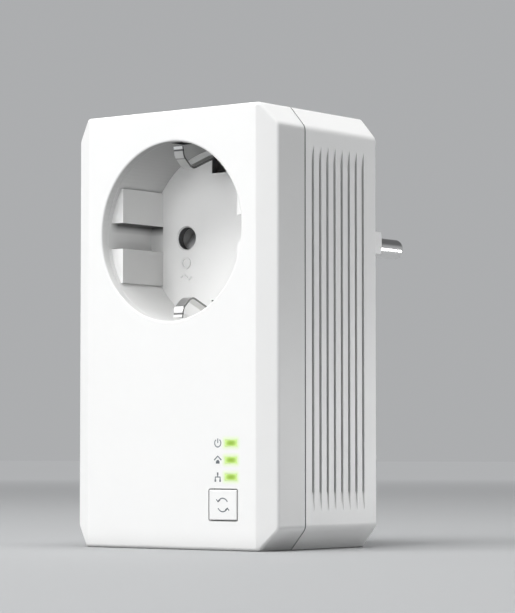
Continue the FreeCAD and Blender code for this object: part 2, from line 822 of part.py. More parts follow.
def make_socket_insert():
    body = new_body("socket_insert")
    cup = new_sketch(body, "insert_cup", "front", f"-{FRONT_INSIDE}")
    draw_circle(cup, ("0", "0"), INSERT_RADIUS)
    pad(body, cup, f"{FLOOR_BACK}-{FRONT_INSIDE}", along=False)
    flange = new_sketch(body, "insert_flange_ring", "front", f"-{FRONT_INSIDE}")
    draw_circle(flange, ("0", "0"), f"{INSERT_RADIUS}+insert_flange")
    pad(body, flange, "insert_flange_thickness", along=False)
    recess = new_sketch(body, "insert_recess", "front", f"-{FRONT_INSIDE}")
    draw_circle(recess, ("0", "0"), "socket_radius")
    pocket(body, recess, f"{FLOOR}-{FRONT_INSIDE}", along=False)
    mouth = size("front_wall") - size("body_depth")
    across = 2 * size("socket_radius")
    dress(body, "Chamfer", "insert_mouth_edge",
          lambda edge: flat_at_y(edge, mouth) and is_near(edge.BoundBox.XLength, across), "insert_mouth_chamfer")
    keys = new_sketch(body, "insert_keys", "front", f"-{FLOOR}")
    for side in ("", "-"):
        for end in ("", "-"):
            draw_polygon(keys, key_outline(side, end))
    pad(body, keys, "socket_depth-key_setback")
    holes = circles(body, "insert_pin_holes", FLOOR, PIN_PLACES, "pin_radius+pin_hole_play")
    pocket(body, holes, "socket_floor", along=False)
    floor = size("socket_depth") - size("body_depth")
    width = 2 * (size("pin_radius") + size("pin_hole_play"))
    dress(body, "Chamfer", "insert_hole_edges",
          lambda edge: flat_at_y(edge, floor) and is_near(edge.BoundBox.XLength, width), "pin_hole_chamfer")
    windows = new_sketch(body, "insert_earth_windows", "front", f"-{FLOOR}")
    slots = new_sketch(body, "insert_clip_slots", "front", f"-{FRONT_INSIDE}")
    for end in ("", "-"):
        draw_rectangle(windows, ("-earth_window_half_width", f"{end}earth_window_from_axis"),
                       ("earth_window_half_width", f"{end}sqrt(socket_radius^2-earth_window_half_width^2)"))
        draw_rectangle(slots, ("-clip_slot_half_width", f"{end}(socket_radius-insert_wall)"),
                       ("clip_slot_half_width", f"{end}({INSERT_RADIUS}+insert_flange+1)"))
    pocket(body, windows, "socket_floor", along=False)
    pocket(body, slots, "clip_slot_length", along=False)
    rails = new_sketch(body, "insert_rails", "front", f"-{FLOOR_BACK}")
    shelves = new_sketch(body, "insert_spring_shelves", "front", f"-{FLOOR_BACK}")
    for side in ("", "-"):
        draw_rectangle(rails, (f"{side}{RAIL_INSIDE}", RAIL_BASE),
                       (f"{side}({RAIL_INSIDE}+rail_thickness)", "rail_above_axis"))
        draw_rectangle(shelves,
                       (f"{side}(spring_from_axis-spring_shelf_half_width)", f"{SHELF_TOP}-spring_shelf"),
                       (f"{side}(spring_from_axis+spring_shelf_half_width)", SHELF_TOP))
    pad(body, rails, f"{CARRIER_FRONT}-{FLOOR_BACK}", along=False)
    pad(body, shelves, f"{SHUTTER_BACK}-{FLOOR_BACK}", along=False)
    return body


def make_shutter():
    """A slide with a ramp behind each pin hole. Two pins together push it down."""
    body = new_body("shutter")
    ramp = new_sketch(body, "shutter_ramp", "side", f"-{SHUTTER_SIDE}")
    draw_polygon(ramp, [
        (SHUTTER_FRONT, "-shutter_below_axis"), (SHUTTER_BACK, "-shutter_below_axis"),
        (SHUTTER_BACK, "shutter_ramp_rise-shutter_ramp_start"),
        (f"{SHUTTER_FRONT}+shutter_ramp_rise", "shutter_ramp_rise-shutter_ramp_start"),
        (SHUTTER_FRONT, "-shutter_ramp_start"),
    ])
    pad(body, ramp, f"2*{SHUTTER_SIDE}")
    inner = f"({PIN_X}-shutter_wing_half_width)"
    bar_front = f"({SHUTTER_BACK}-shutter_bar_thickness)"
    bar_top = "(shutter_bar_height-shutter_below_axis)"
    middle = new_sketch(body, "shutter_middle", "side", f"-{inner}")
    below = "(-shutter_below_axis-1)"
    draw_polygon(middle, [
        (f"{SHUTTER_FRONT}-1", below), (bar_front, below), (bar_front, bar_top),
        (f"{SHUTTER_BACK}+1", bar_top), (f"{SHUTTER_BACK}+1", "shutter_ramp_rise"),
        (f"{SHUTTER_FRONT}-1", "shutter_ramp_rise"),
    ])
    pocket(body, middle, f"2*{inner}")
    return body


def shutter_back():
    front = size("socket_depth") + size("socket_floor") + size("shutter_gap") - size("body_depth")
    return front + size("shutter_ramp_rise") + size("shutter_back_thickness")


def make_shutter_springs():
    """Two coil springs between the shutter's bar and the insert's shelves."""
    wire = size("spring_wire_radius")
    coil = size("spring_coil_radius")
    height = size("spring_length") - 2 * wire
    helix = Part.makeHelix(size("spring_pitch"), height, coil)
    section = Part.Wire(Part.Circle(Vector(coil, 0, 0), Vector(0, 1, 0), wire).toShape())
    spring = Part.Wire(helix).makePipeShell([section], True, True)
    shelf = -size("shutter_below_axis") - size("spring_length")
    y = shutter_back() - size("shutter_bar_thickness") / 2
    springs = []
    for side in (-1, 1):
        copy = spring.copy()
        copy.translate(Vector(side * size("spring_from_axis"), 0, 0))
        springs.append(copy)
    return feature("shutter_springs", Part.makeCompound(springs), Vector(0, y, shelf + wire))


def make_contact_carrier():
    body = new_body("contact_carrier")
    plate = new_sketch(body, "carrier_plate", "front", f"-{CARRIER_FRONT}")
    half = f"({RAIL_INSIDE}+rail_thickness)"
    draw_rectangle(plate, (f"-{half}", RAIL_BASE), (half, "rail_above_axis"))
    pad(body, plate, "carrier_thickness", along=False)
    inside = f"({SLEEVE_RADIUS}+sleeve_gap)"
    outside = f"({inside}+carrier_collar_wall)"
    collars = circles(body, "carrier_collars", CARRIER_BACK, PIN_PLACES, outside)
    for spot in PIN_PLACES:
        draw_circle(collars, spot, inside)
    pad(body, collars, f"{SLEEVE_BACK}-carrier_collar_setback-{CARRIER_BACK}", along=False)
    holes = circles(body, "carrier_holes", CARRIER_FRONT, PIN_PLACES, "pin_radius+pin_hole_play")
    pocket(body, holes, "carrier_thickness", along=False)
    slots = new_sketch(body, "carrier_tab_slots", "front", f"-{CARRIER_BACK}")
    for side in ("", "-"):
        draw_rectangle(slots, (f"{side}({PIN_X}-tab_width/2-sleeve_gap)", f"-({outside}+1)"),
                       (f"{side}({PIN_X}+tab_width/2+sleeve_gap)", "-1"))
    pocket(body, slots, "tab_setback+tab_thickness+2*sleeve_gap", along=False)
    return body


def make_contact_sleeve(name, side):
    """A split brass tube for a plug's pin, with a flat tab down to the power board."""
    x = f"({side}{PIN_X})"
    length = f"({SLEEVE_BACK}-{SLEEVE_FRONT})"
    tube = rod(name + "_tube", SLEEVE_RADIUS, (x, SLEEVE_FRONT, "0"), length)
    tab = block(name + "_tab", (f"{x}-tab_width/2", f"{x}+tab_width/2"),
                (f"{POWER_FRONT}-tab_thickness", POWER_FRONT),
                (f"{BOARD_TOP}-tab_below_board_top", "-pin_radius-sleeve_wall/2"))
    whole = fuse(name + "_blank", [tube, tab])
    bore = rod(name + "_bore", "pin_radius+sleeve_play", (x, f"{SLEEVE_FRONT}-1", "0"), f"{length}+2")
    slit = block(name + "_slit", (f"{x}-sleeve_slit/2", f"{x}+sleeve_slit/2"),
                 (f"{SLEEVE_FRONT}-1", f"{SLEEVE_BACK}+1"), ("0", f"{SLEEVE_RADIUS}+1"))
    return cut(name, whole, fuse(name + "_cuts", [bore, slit]))


def clip_path(end):
    """The clip's bends, from its tip in the socket's mouth to its root behind the floor."""
    front = -size("body_depth")
    wall = size("socket_radius")
    floor = front + size("socket_depth")
    bends = [
        (front + size("clip_tip_depth"), wall - size("clip_tip_from_wall")),
        (front + size("clip_nose_depth"), size("clip_nose_from_axis")),
        (front + size("clip_belly_depth"), size("clip_belly_from_axis")),
        (floor - size("clip_knee_from_floor"), wall - size("clip_knee_from_wall")),
        clip_root(),
    ]
    return [(y, end * z) for y, z in bends]


def clip_root():
    back = size("socket_depth") + size("socket_floor") - size("body_depth")
    return back + size("clip_root_behind_floor"), size("socket_radius") - size("clip_root_from_wall")


def make_earth_clip(name, end):
    shape = bent_strip(clip_path(end), size("clip_bend"), size("clip_thickness"), size("clip_width"))
    return feature(name, shape)


def strap_plane():
    """Where the bridge runs from clip to clip, just behind the contact carrier."""
    carrier = shutter_back() + size("carrier_gap") + size("carrier_thickness")
    return carrier + size("sleeve_gap") + size("strap_thickness") / 2


def make_earth_bridge():
    root_y, root_z = clip_root()
    start = root_y + size("clip_hinge_gap")
    path = [(start, root_z), (strap_plane(), root_z), (strap_plane(), -root_z), (start, -root_z)]
    return feature("earth_bridge",
                   bent_strip(path, size("strap_bend"), size("strap_thickness"), size("strap_width")))


def make_earth_link():
    """A rivet between the bridge and the plug's earth strap."""
    start = f"({CARRIER_BACK}+sleeve_gap+strap_thickness)"
    return rod("earth_link", "link_radius", ("0", start, "-earth_hole_from_axis"), f"{FLANGE_BACK}-({start})")


# ---------------------------------------------------------------- wall plug

def make_plug_body():
    body = new_body("plug_body")
    boss = new_sketch(body, "plug_boss", "front", "-plug_length")
    draw_circle(boss, ("0", "0"), "plug_radius")
    pad(body, boss, "plug_length+back_wall")
    face = size("plug_length")
    dress(body, "Fillet", "plug_face_edge", lambda edge: flat_at_y(edge, face), "plug_edge_round")
    flange = new_sketch(body, "plug_flange_ring", "front", f"-{BACK_INSIDE}")
    draw_circle(flange, ("0", "0"), "plug_radius+plug_flange")
    pad(body, flange, "plug_flange_thickness")
    keys = new_sketch(body, "plug_keys", "front", "-plug_length")
    for side in ("", "-"):
        for end in ("", "-"):
            draw_rectangle(keys, (f"{side}plug_flat", f"{end}plug_rib_half"),
                           (f"{side}(plug_radius+1)", f"{end}plug_key_half"))
    pocket(body, keys, "plug_length-plug_key_floor")
    earth = new_sketch(body, "plug_earth_grooves", "front", "-plug_length")
    relief = new_sketch(body, "plug_bend_relief", "front", f"-{BACK_INSIDE}")
    groove = "(plug_strap_from_axis-strap_thickness/2)"
    for end in ("", "-"):
        draw_rectangle(earth, ("-plug_strap_groove_half", f"{end}{groove}"),
                       ("plug_strap_groove_half", f"{end}(plug_radius+plug_flange+1)"))
        draw_rectangle(relief, ("-plug_strap_groove_half", f"{end}({groove}-strap_bend)"),
                       ("plug_strap_groove_half", f"{end}{groove}"))
    pocket(body, earth, "plug_length+back_wall")
    pocket(body, relief, "strap_bend", along=False)
    seats = new_sketch(body, "plug_strip_seats", "front", f"-{BACK_INSIDE}")
    for side in ("", "-"):
        draw_rectangle(seats, (f"{side}({PIN_X}-tab_width/2-plug_play)", "-(plug_radius+plug_flange+1)"),
                       (f"{side}({PIN_X}+tab_width/2+plug_play)", "tab_width/2+plug_play"))
    draw_rectangle(seats, ("-plug_strap_groove_half", "-(plug_radius+plug_flange+1)"),
                   ("plug_strap_groove_half", "plug_radius+plug_flange+1"))
    pocket(body, seats, "plug_flange_thickness")
    pins = circles(body, "plug_pin_holes", "plug_length", PIN_PLACES, "pin_root_radius+mould_play")
    pocket(body, pins, "plug_length+back_wall")
    earth_spot = [("0", "earth_hole_from_axis")]
    hole = circles(body, "plug_earth_hole", "plug_length", earth_spot, "earth_sleeve_radius+mould_play")
    pocket(body, hole, "earth_sleeve_sink+earth_sleeve_length")
    stem = circles(body, "plug_stem_hole", BACK_INSIDE, earth_spot, "link_radius+mould_play")
    pocket(body, stem, "back_wall+plug_length-earth_sleeve_sink-earth_sleeve_length", along=False)
    return body


def make_plug_pin(name, side):
    """A turned pin: a riveted tail, a root moulded into the boss and a round-nosed shank."""
    body = new_body(name)
    profile = new_sketch(body, name + "_profile", "top")
    tip = "(plug_length+pin_length)"
    draw_polygon(profile, [
        ("0", FLANGE_BACK), ("pin_rivet_radius", FLANGE_BACK), ("pin_rivet_radius", BACK_INSIDE),
        ("pin_root_radius", BACK_INSIDE), ("pin_root_radius", "plug_length"), ("pin_radius", "plug_length"),
        ("pin_radius", tip), ("0", tip),
    ])
    revolve(body, profile)
    end = size("plug_length") + size("pin_length")
    dress(body, "Fillet", name + "_nose", lambda edge: flat_at_y(edge, end), "pin_tip_round")
    return place(body, f"{side}{PIN_X}")


def make_plug_strip(name, side):
    """A brass strip from a pin's tail down to the back of the power board."""
    y = -size("back_wall") - size("plug_flange_thickness") / 2
    low = board_top() - size("tab_below_board_top") + size("tab_thickness")
    path = [(y, size("tab_width") / 2), (y, low), (power_back(), low)]
    strip = bent_strip(path, size("strap_bend"), size("plug_flange_thickness"), size("tab_width"))
    radius = size("pin_rivet_radius") + size("mould_play")
    reach = size("plug_flange_thickness")
    hole = Part.makeCylinder(radius, 2 * reach, Vector(0, y - reach, 0), Vector(0, 1, 0))
    return feature(name, strip.cut(hole), Vector(side * size("pin_pitch") / 2, 0, 0))


def power_back():
    """The y of the power board's solder side."""
    front = strap_plane() - size("strap_thickness") / 2 + size("tab_setback") + size("tab_thickness")
    return front + size("board_thickness")


def make_plug_earth_strap():
    y = -size("back_wall") - size("plug_flange_thickness") + size("strap_thickness") / 2
    z = size("plug_strap_from_axis")
    end = size("plug_length") - size("plug_strap_inset")
    path = [(end, z), (y, z), (y, -z), (end, -z)]
    return feature("plug_earth_strap",
                   bent_strip(path, size("strap_bend"), size("strap_thickness"), size("strap_width")))


def make_earth_pin_sleeve():
    """The contact for a socket's own earth pin, with a stem back to the strap."""
    body = new_body("earth_pin_sleeve")
    profile = new_sketch(body, "earth_sleeve_profile", "top")
    mouth = "(plug_length-earth_sleeve_sink)"
    closed = f"({mouth}-earth_sleeve_length)"
    wall = "(earth_sleeve_radius-earth_sleeve_bore)"
    draw_polygon(profile, [
        ("0", BACK_INSIDE), ("link_radius", BACK_INSIDE), ("link_radius", closed),
        ("earth_sleeve_radius", closed), ("earth_sleeve_radius", mouth), ("earth_sleeve_bore", mouth),
        ("earth_sleeve_bore", f"{closed}+{wall}"), ("0", f"{closed}+{wall}"),
    ])
    revolve(body, profile)
    return place(body, z="earth_hole_from_axis")


# ---------------------------------------------------------------- boards

def make_board(name, front, column_radius):
    """Both boards share one outline. The notches clear the housing's columns."""
    body = new_body(name)
    outline = new_sketch(body, name + "_outline", "front", f"-{front}")
    notch_x = f"({COLUMN_X}-{column_radius}-board_notch_gap)"
    notch_z = f"({COLUMN_LOW}+{column_radius}+board_notch_gap)"
    draw_polygon(outline, [
        (f"-{notch_x}", BOARD_BASE), (notch_x, BOARD_BASE), (notch_x, notch_z), (BOARD_SIDE, notch_z),
        (BOARD_SIDE, BOARD_TOP), (f"-{BOARD_SIDE}", BOARD_TOP), (f"-{BOARD_SIDE}", notch_z),
        (f"-{notch_x}", notch_z),
    ])
    pad(body, outline, "board_thickness", along=False)
    holes = circles(body, name + "_holes", front, POST_PLACES, "board_screw_radius+board_hole_clearance")
    pocket(body, holes, "board_thickness", along=False)
    return body


def make_board_screws():
    pattern = make_screw("board_screw", "board_screw_radius", "board_screw_length",
                         "board_screw_head_radius", "board_screw_head_height")
    copies = []
    for x, z in POST_PLACES:
        copies.append(place(turned_copy(pattern), x, POWER_FRONT, z))
        copies.append(place(turned_copy(pattern, HALF_TURN), x, MAIN_BACK, z))
    return group("board_screws", copies)


def from_left(distance):
    return f"({distance}-{BOARD_SIDE})"


def from_right(distance):
    return f"({BOARD_SIDE}-{distance})"


def below_top(distance):
    return f"({BOARD_TOP}-{distance})"


def above_base(distance):
    return f"({BOARD_BASE}+{distance})"


def on_board(name, x, z, width, height, y):
    """A box on a board, from its middle, its two sizes across the board and its two y values."""
    return block(name, (f"{x}-{width}/2", f"{x}+{width}/2"), y, (f"{z}-{height}/2", f"{z}+{height}/2"))


def on_power(name, x, z, piece):
    """A box on the power board, with the three sizes named after the piece."""
    y = (f"{POWER_FRONT}-{piece}_tall", POWER_FRONT)
    return on_board(name, x, z, f"{piece}_width", f"{piece}_height", y)


def on_main(name, x, z, width, height, thickness):
    return on_board(name, x, z, width, height, (MAIN_BACK, f"{MAIN_BACK}+{thickness}"))


def make_fuse():
    """A glass tube with a metal cap at each end."""
    y = f"{POWER_FRONT}-fuse_radius"
    z = below_top("fuse_drop")
    middle = from_left("fuse_from_side")
    start = f"{middle}-fuse_length/2"
    tube = rod("fuse_tube", "fuse_radius*0.9", (start, y, z), "fuse_length", "x")
    near = rod("fuse_cap_near", "fuse_radius", (start, y, z), "fuse_length/4", "x")
    far = rod("fuse_cap_far", "fuse_radius", (f"{middle}+fuse_length/4", y, z), "fuse_length/4", "x")
    return fuse("fuse", [tube, near, far])


def make_varistor():
    """A disc on two legs."""
    y = f"{POWER_FRONT}-varistor_radius*1.2"
    z = below_top("varistor_drop")
    pieces = [rod("varistor_disc", "varistor_radius", ("0", y, f"{z}-varistor_thickness/2"),
                  "varistor_thickness", "z")]
    for side, name in (("-", "varistor_leg_left"), ("", "varistor_leg_right")):
        start = (f"{side}varistor_radius/2", y, z)
        pieces.append(rod(name, "varistor_thickness/10", start, "varistor_radius*1.2"))
    return fuse("varistor", pieces)


def board_top():
    return -size("socket_radius") - size("insert_wall") - size("insert_flange") - size("board_gap")


def choke_centre():
    reach = size("choke_section") + size("choke_wire_gap") + 2 * size("choke_wire")
    inset = size("shell_wall") + size("lip_clearance") + size("lip_thickness") + size("board_edge_gap")
    x = size("body_width") / 2 - inset - size("choke_from_side")
    return Vector(x, power_back() - size("board_thickness") - reach, board_top() - size("choke_drop"))


def make_choke():
    core = Part.makeTorus(size("choke_radius"), size("choke_section"), Vector(0, 0, 0), Vector(0, 1, 0))
    ring = size("choke_section") + size("choke_wire_gap") + size("choke_wire")
    count = int(size("choke_turns"))
    turns = []
    for i in range(count):
        angle = 2 * math.pi * (i + 0.5) / count
        outwards = Vector(math.cos(angle), 0, math.sin(angle))
        along = Vector(-math.sin(angle), 0, math.cos(angle))
        turns.append(Part.makeTorus(ring, size("choke_wire"), outwards * size("choke_radius"), along))
    return [feature("choke_core", core, choke_centre()),
            feature("choke_windings", Part.makeCompound(turns), choke_centre())]


def make_transformer():
    """An E-core with its winding round the middle leg, which stands across the board."""
    x = from_left("transformer_from_side")
    y = f"({POWER_FRONT}-transformer_tall/2)"
    z = below_top("transformer_drop")
    window = "(transformer_width/2-transformer_leg/2)"
    rise = "(transformer_height/2-transformer_yoke)"
    through = (f"{y}-transformer_depth", f"{y}+transformer_depth")
    core = on_board("core_blank", x, z, "transformer_width", "transformer_height",
                    (f"{y}-transformer_depth/2", f"{y}+transformer_depth/2"))
    left = block("core_window_left", (f"{x}-{window}", f"{x}-transformer_leg/2"), through,
                 (f"{z}-{rise}", f"{z}+{rise}"))
    right = block("core_window_right", (f"{x}+transformer_leg/2", f"{x}+{window}"), through,
                  (f"{z}-{rise}", f"{z}+{rise}"))
    coil = on_board("coil_blank", x, z, f"2*({window}-winding_gap)", f"2*({rise}-winding_gap)",
                    (f"{POWER_FRONT}-transformer_tall", POWER_FRONT))
    leg = on_board("coil_hole", x, z, "(transformer_leg+2*winding_gap)", "2*transformer_height",
                   (f"{y}-transformer_depth/2-winding_gap", f"{y}+transformer_depth/2+winding_gap"))
    return [cut("transformer_core", core, fuse("core_windows", [left, right])),
            cut("transformer_winding", coil, leg)]


def make_bulk_capacitors():
    """Two cans with the crimped ring near their base."""
    pattern = new_body("bulk_capacitor")
    profile = new_sketch(pattern, "bulk_capacitor_profile", "top")
    crimp = "bulk_capacitor_tall*0.12"
    radius = "bulk_capacitor_radius"
    draw_polygon(profile, [
        ("0", "0"), (radius, "0"), (radius, f"-{crimp}"),
        (f"{radius}-bulk_capacitor_groove", f"-{crimp}*1.4"),
        (radius, f"-{crimp}*1.8"), (radius, "-bulk_capacitor_tall"), ("0", "-bulk_capacitor_tall"),
    ])
    revolve(pattern, profile)
    cans = []
    for step in ("0", "bulk_capacitor_pitch"):
        cans.append(place(turned_copy(pattern), f"{step}-bulk_capacitor_from_middle", POWER_FRONT,
                          above_base("bulk_capacitor_above_base")))
    return group("bulk_capacitors", cans)


def make_heat_sink():
    x = from_left("chip_from_side")
    y = f"({MAIN_BACK}+chip_thickness)"
    z = below_top("chip_drop")
    pieces = [on_board("sink_plate", x, z, "chip_width", "chip_width", (y, f"{y}+sink_base"))]
    count = int(size("sink_fins"))
    for i in range(count):
        fin = f"({x}+(chip_width-sink_fin_thickness)*{i / (count - 1) - 0.5})"
        pieces.append(on_board(f"sink_fin_{i + 1}", fin, z, "sink_fin_thickness", "chip_width",
                               (y, f"{y}+sink_height")))
    return fuse("heat_sink", pieces)


def make_header():
    """The row of pins that joins the boards, and the plastic block at its foot."""
    x = f"({BOARD_SIDE}-header_from_side)"
    z = below_top("header_drop")
    half = "(header_pins*header_pitch/2)"
    strip = block("header_strip", (f"{x}-header_block/2", f"{x}+header_block/2"),
                  (MAIN_BACK, f"{MAIN_BACK}+header_block"), (f"{z}-{half}", f"{z}+{half}"))
    pins = []
    for i in range(int(size("header_pins"))):
        low = f"({z}-{half}+header_pitch*{i + 0.5}-header_pin_half)"
        pins.append(block(f"header_pin_{i + 1}", (f"{x}-header_pin_half", f"{x}+header_pin_half"),
                          (f"{MAIN_BACK}+header_block", POWER_FRONT), (low, f"{low}+2*header_pin_half")))
    strip.Label = "header_block"
    return [strip, group("header_pins", pins)]


def make_insulating_sheet():
    y = f"({POWER_FRONT}-sheet_from_power_board)"
    half = f"({BOARD_SIDE}-sheet_from_side)"
    return block("insulating_sheet", (f"-{half}", half), (y, f"{y}+sheet_thickness"),
                 (f"{JACK_TOP}+shield_thickness+sheet_above_jack", f"{BOARD_TOP}-board_gap"))


# ---------------------------------------------------------------- network port

def make_jack_body():
    body = new_body("network_jack_body")
    outline = new_sketch(body, "jack_outline", "top", JACK_MOUTH)
    draw_rectangle(outline, ("-jack_half_width", MAIN_BACK), ("jack_half_width", JACK_BACK))
    pad(body, outline, "jack_length")
    low = f"({MAIN_BACK}+jack_opening_from_board)"
    high = f"({low}+jack_opening_height)"
    latch = f"({high}+jack_latch_height)"
    opening = new_sketch(body, "jack_opening", "top", JACK_MOUTH)
    draw_polygon(opening, [
        ("-jack_opening_half", low), ("jack_opening_half", low), ("jack_opening_half", high),
        ("jack_latch_half", high), ("jack_latch_half", latch), ("-jack_latch_half", latch),
        ("-jack_latch_half", high), ("-jack_opening_half", high),
    ])
    pocket(body, opening, "jack_opening_depth")
    return body


def make_jack_shield():
    body = new_body("network_jack_shield")
    outside = new_sketch(body, "shield_outside", "top", JACK_MOUTH)
    draw_rectangle(outside, ("-jack_half_width-shield_thickness", MAIN_BACK),
                   ("jack_half_width+shield_thickness", f"{JACK_BACK}+shield_thickness"))
    pad(body, outside, "jack_length+shield_thickness")
    inside = new_sketch(body, "shield_inside", "top", JACK_MOUTH)
    draw_rectangle(inside, ("-jack_half_width", f"{MAIN_BACK}-1"), ("jack_half_width", JACK_BACK))
    pocket(body, inside, "jack_length")
    return body


def make_jack_contacts():
    """Eight spring wires that lean into the opening from the board's side."""
    base = size("main_board_depth") + size("board_thickness") - size("body_depth")
    y = base + size("jack_opening_from_board")
    mouth = size("top_above_socket") - size("body_height") + size("jack_sink")
    end = mouth + size("jack_opening_depth")
    low = y + size("contact_wire_rise")
    path = [(low, end), (low, end - size("contact_wire_foot")),
            (y + size("contact_wire_lean"), end - size("contact_wire_crest")),
            (low, end - size("contact_wire_tip"))]
    wire = bent_strip(path, size("contact_wire_bend"), size("contact_wire_thickness"),
                      size("contact_wire_width"))
    count = int(size("contact_wires"))
    wires = []
    for i in range(count):
        copy = wire.copy()
        copy.translate(Vector((i - (count - 1) / 2) * size("contact_pitch"), 0, 0))
        wires.append(copy)
    return feature("network_jack_contacts", Part.makeCompound(wires))


def make_magnetics():
    z = f"({JACK_TOP}+shield_thickness+magnetics_gap)"
    return block("network_magnetics", ("-magnetics_width/2", "magnetics_width/2"),
                 (MAIN_BACK, f"{MAIN_BACK}+magnetics_thickness"), (z, f"{z}+magnetics_height"))


# ---------------------------------------------------------------- lights and button

LIGHT_STEPS = (-1, 0, 1)


def make_status_leds():
    lights = []
    for i, step in enumerate(LIGHT_STEPS, start=1):
        z = f"({LIGHT_Z}+light_pitch*({step}))"
        lights.append(block(f"led_{i}", (f"{LIGHT_X}-led_width/2", f"{LIGHT_X}+led_width/2"),
                            (f"{MAIN_FRONT}-led_thickness", MAIN_FRONT),
                            (f"{z}-led_height/2", f"{z}+led_height/2")))
    return group("status_leds", lights)


def make_light_guide():
    """A clear plate behind the cover, with a head in each window and a stub back to each light."""
    body = new_body("light_guide")
    plate = new_sketch(body, "guide_plate_outline", "front", f"-{FRONT_INSIDE}")
    half = "(window_width/2+guide_margin)"
    rise = "(light_pitch+window_height/2+guide_margin)"
    draw_rectangle(plate, (f"{LIGHT_X}-{half}", f"{LIGHT_Z}-{rise}"),
                   (f"{LIGHT_X}+{half}", f"{LIGHT_Z}+{rise}"))
    pad(body, plate, "guide_plate", along=False)
    heads = new_sketch(body, "guide_heads", "front", f"-{FRONT_INSIDE}")
    stubs = new_sketch(body, "guide_stubs", "front", f"-({FRONT_INSIDE}+guide_plate)")
    across = "(window_width/2-window_play)"
    high = "(window_height/2-window_play)"
    for step in LIGHT_STEPS:
        z = f"({LIGHT_Z}+light_pitch*({step}))"
        for drawing in (heads, stubs):
            draw_rectangle(drawing, (f"{LIGHT_X}-{across}", f"{z}-{high}"),
                           (f"{LIGHT_X}+{across}", f"{z}+{high}"))
    pad(body, heads, "front_wall")
    pad(body, stubs, f"{MAIN_FRONT}-led_thickness-guide_gap-{FRONT_INSIDE}-guide_plate", along=False)
    return body


FLANGE_FRONT = f"({FRONT_INSIDE}+button_flange_gap)"
SWITCH_TOP = f"({MAIN_FRONT}-switch_height)"


def make_pair_button():
    body = new_body("pair_button")
    half = "(button_hole_width/2-button_gap)"
    rise = "(button_hole_height/2-button_gap)"
    cap = new_sketch(body, "button_cap", "front", f"-{FLANGE_FRONT}")
    draw_rectangle(cap, (f"{BUTTON_X}-{half}", f"{BUTTON_Z}-{rise}"),
                   (f"{BUTTON_X}+{half}", f"{BUTTON_Z}+{rise}"))
    pad(body, cap, "front_wall+button_flange_gap+button_proud")
    dress(body, "Fillet", "button_corners",
          lambda edge: straight_along(edge, "y"), "button_corner-button_gap")
    front = -size("body_depth") - size("button_proud")
    dress(body, "Fillet", "button_front_edge", lambda edge: flat_at_y(edge, front), "button_edge_round")
    flange = new_sketch(body, "button_flange_outline", "front", f"-{FLANGE_FRONT}")
    draw_rectangle(flange, (f"{BUTTON_X}-{half}", f"{BUTTON_Z}-{rise}-button_flange"),
                   (f"{BUTTON_X}+{half}", f"{BUTTON_Z}+{rise}+button_flange"))
    pad(body, flange, "button_flange_thickness", along=False)
    stem = circles(body, "button_stem", f"{FLANGE_FRONT}+button_flange_thickness", [(BUTTON_X, BUTTON_Z)],
                   "button_stem_radius")
    pad(body, stem, f"{SWITCH_TOP}-plunger_height-button_stem_gap-{FLANGE_FRONT}-button_flange_thickness",
        along=False)
    return body


def make_switch_body():
    body = new_body("switch_body")
    case = new_sketch(body, "switch_case", "front", f"-{SWITCH_TOP}")
    half = "(switch_size/2)"
    draw_rectangle(case, (f"{BUTTON_X}-{half}", f"{BUTTON_Z}-{half}"),
                   (f"{BUTTON_X}+{half}", f"{BUTTON_Z}+{half}"))
    pad(body, case, "switch_height", along=False)
    well = circles(body, "switch_well", SWITCH_TOP, [(BUTTON_X, BUTTON_Z)], "plunger_radius+plunger_play")
    pocket(body, well, "plunger_height+button_travel+plunger_play", along=False)
    return body


def make_switch_plunger():
    return rod("switch_plunger", "plunger_radius", (BUTTON_X, f"{SWITCH_TOP}-plunger_height", BUTTON_Z),
               "2*plunger_height")


# ---------------------------------------------------------------- build and export

def make_all():
    """Every piece, in the order in which the adapter is put together."""
    pieces = [make_rear_housing(), make_label()]
    pieces += [make_plug_body(), make_earth_pin_sleeve(), make_plug_earth_strap()]
    for name, sign, side in (("left", "-", -1), ("right", "", 1)):
        pieces.append(make_plug_pin(f"plug_pin_{name}", sign))
        pieces.append(make_plug_strip(f"plug_strip_{name}", side))
        pieces.append(make_contact_sleeve(f"contact_sleeve_{name}", sign))
    pieces += [
        make_board("power_board", POWER_FRONT, "rear_column_radius"),
        make_fuse(),
        make_varistor(),
        on_power("mains_capacitor", from_right("mains_capacitor_from_side"),
                 below_top("mains_capacitor_drop"), "mains_capacitor"),
        *make_choke(),
        on_power("bridge_rectifier", "0", below_top("rectifier_drop"), "rectifier"),
        *make_transformer(),
        make_bulk_capacitors(),
        on_power("signal_coupler", from_right("coupler_from_side"), above_base("coupler_above_base"),
                 "coupler"),
        make_insulating_sheet(),
        make_board("main_board", MAIN_FRONT, "front_column_radius"),
        on_main("powerline_chip", from_left("chip_from_side"), below_top("chip_drop"),
                "chip_width", "chip_width", "chip_thickness"),
        make_heat_sink(),
        on_main("memory_chip", from_left("memory_from_side"), below_top("memory_drop"),
                "memory_width", "memory_height", "memory_thickness"),
        on_main("ethernet_chip", from_right("ethernet_chip_from_side"), below_top("ethernet_chip_drop"),
                "ethernet_chip_width", "ethernet_chip_width", "ethernet_chip_thickness"),
        on_main("crystal", from_right("crystal_from_side"), below_top("crystal_drop"),
                "crystal_width", "crystal_height", "crystal_thickness"),
        make_magnetics(),
        *make_header(),
        make_jack_body(),
        make_jack_shield(),
        make_jack_contacts(),
        make_board_screws(),
        make_status_leds(),
        make_switch_body(),
        make_switch_plunger(),
        make_socket_insert(),
        make_shutter(),
        make_shutter_springs(),
        make_contact_carrier(),
        make_earth_clip("earth_clip_top", 1),
        make_earth_clip("earth_clip_bottom", -1),
        make_earth_bridge(),
        make_earth_link(),
        make_light_guide(),
        make_pair_button(),
        make_front_cover(),
        make_housing_screws(),
    ]
    return pieces


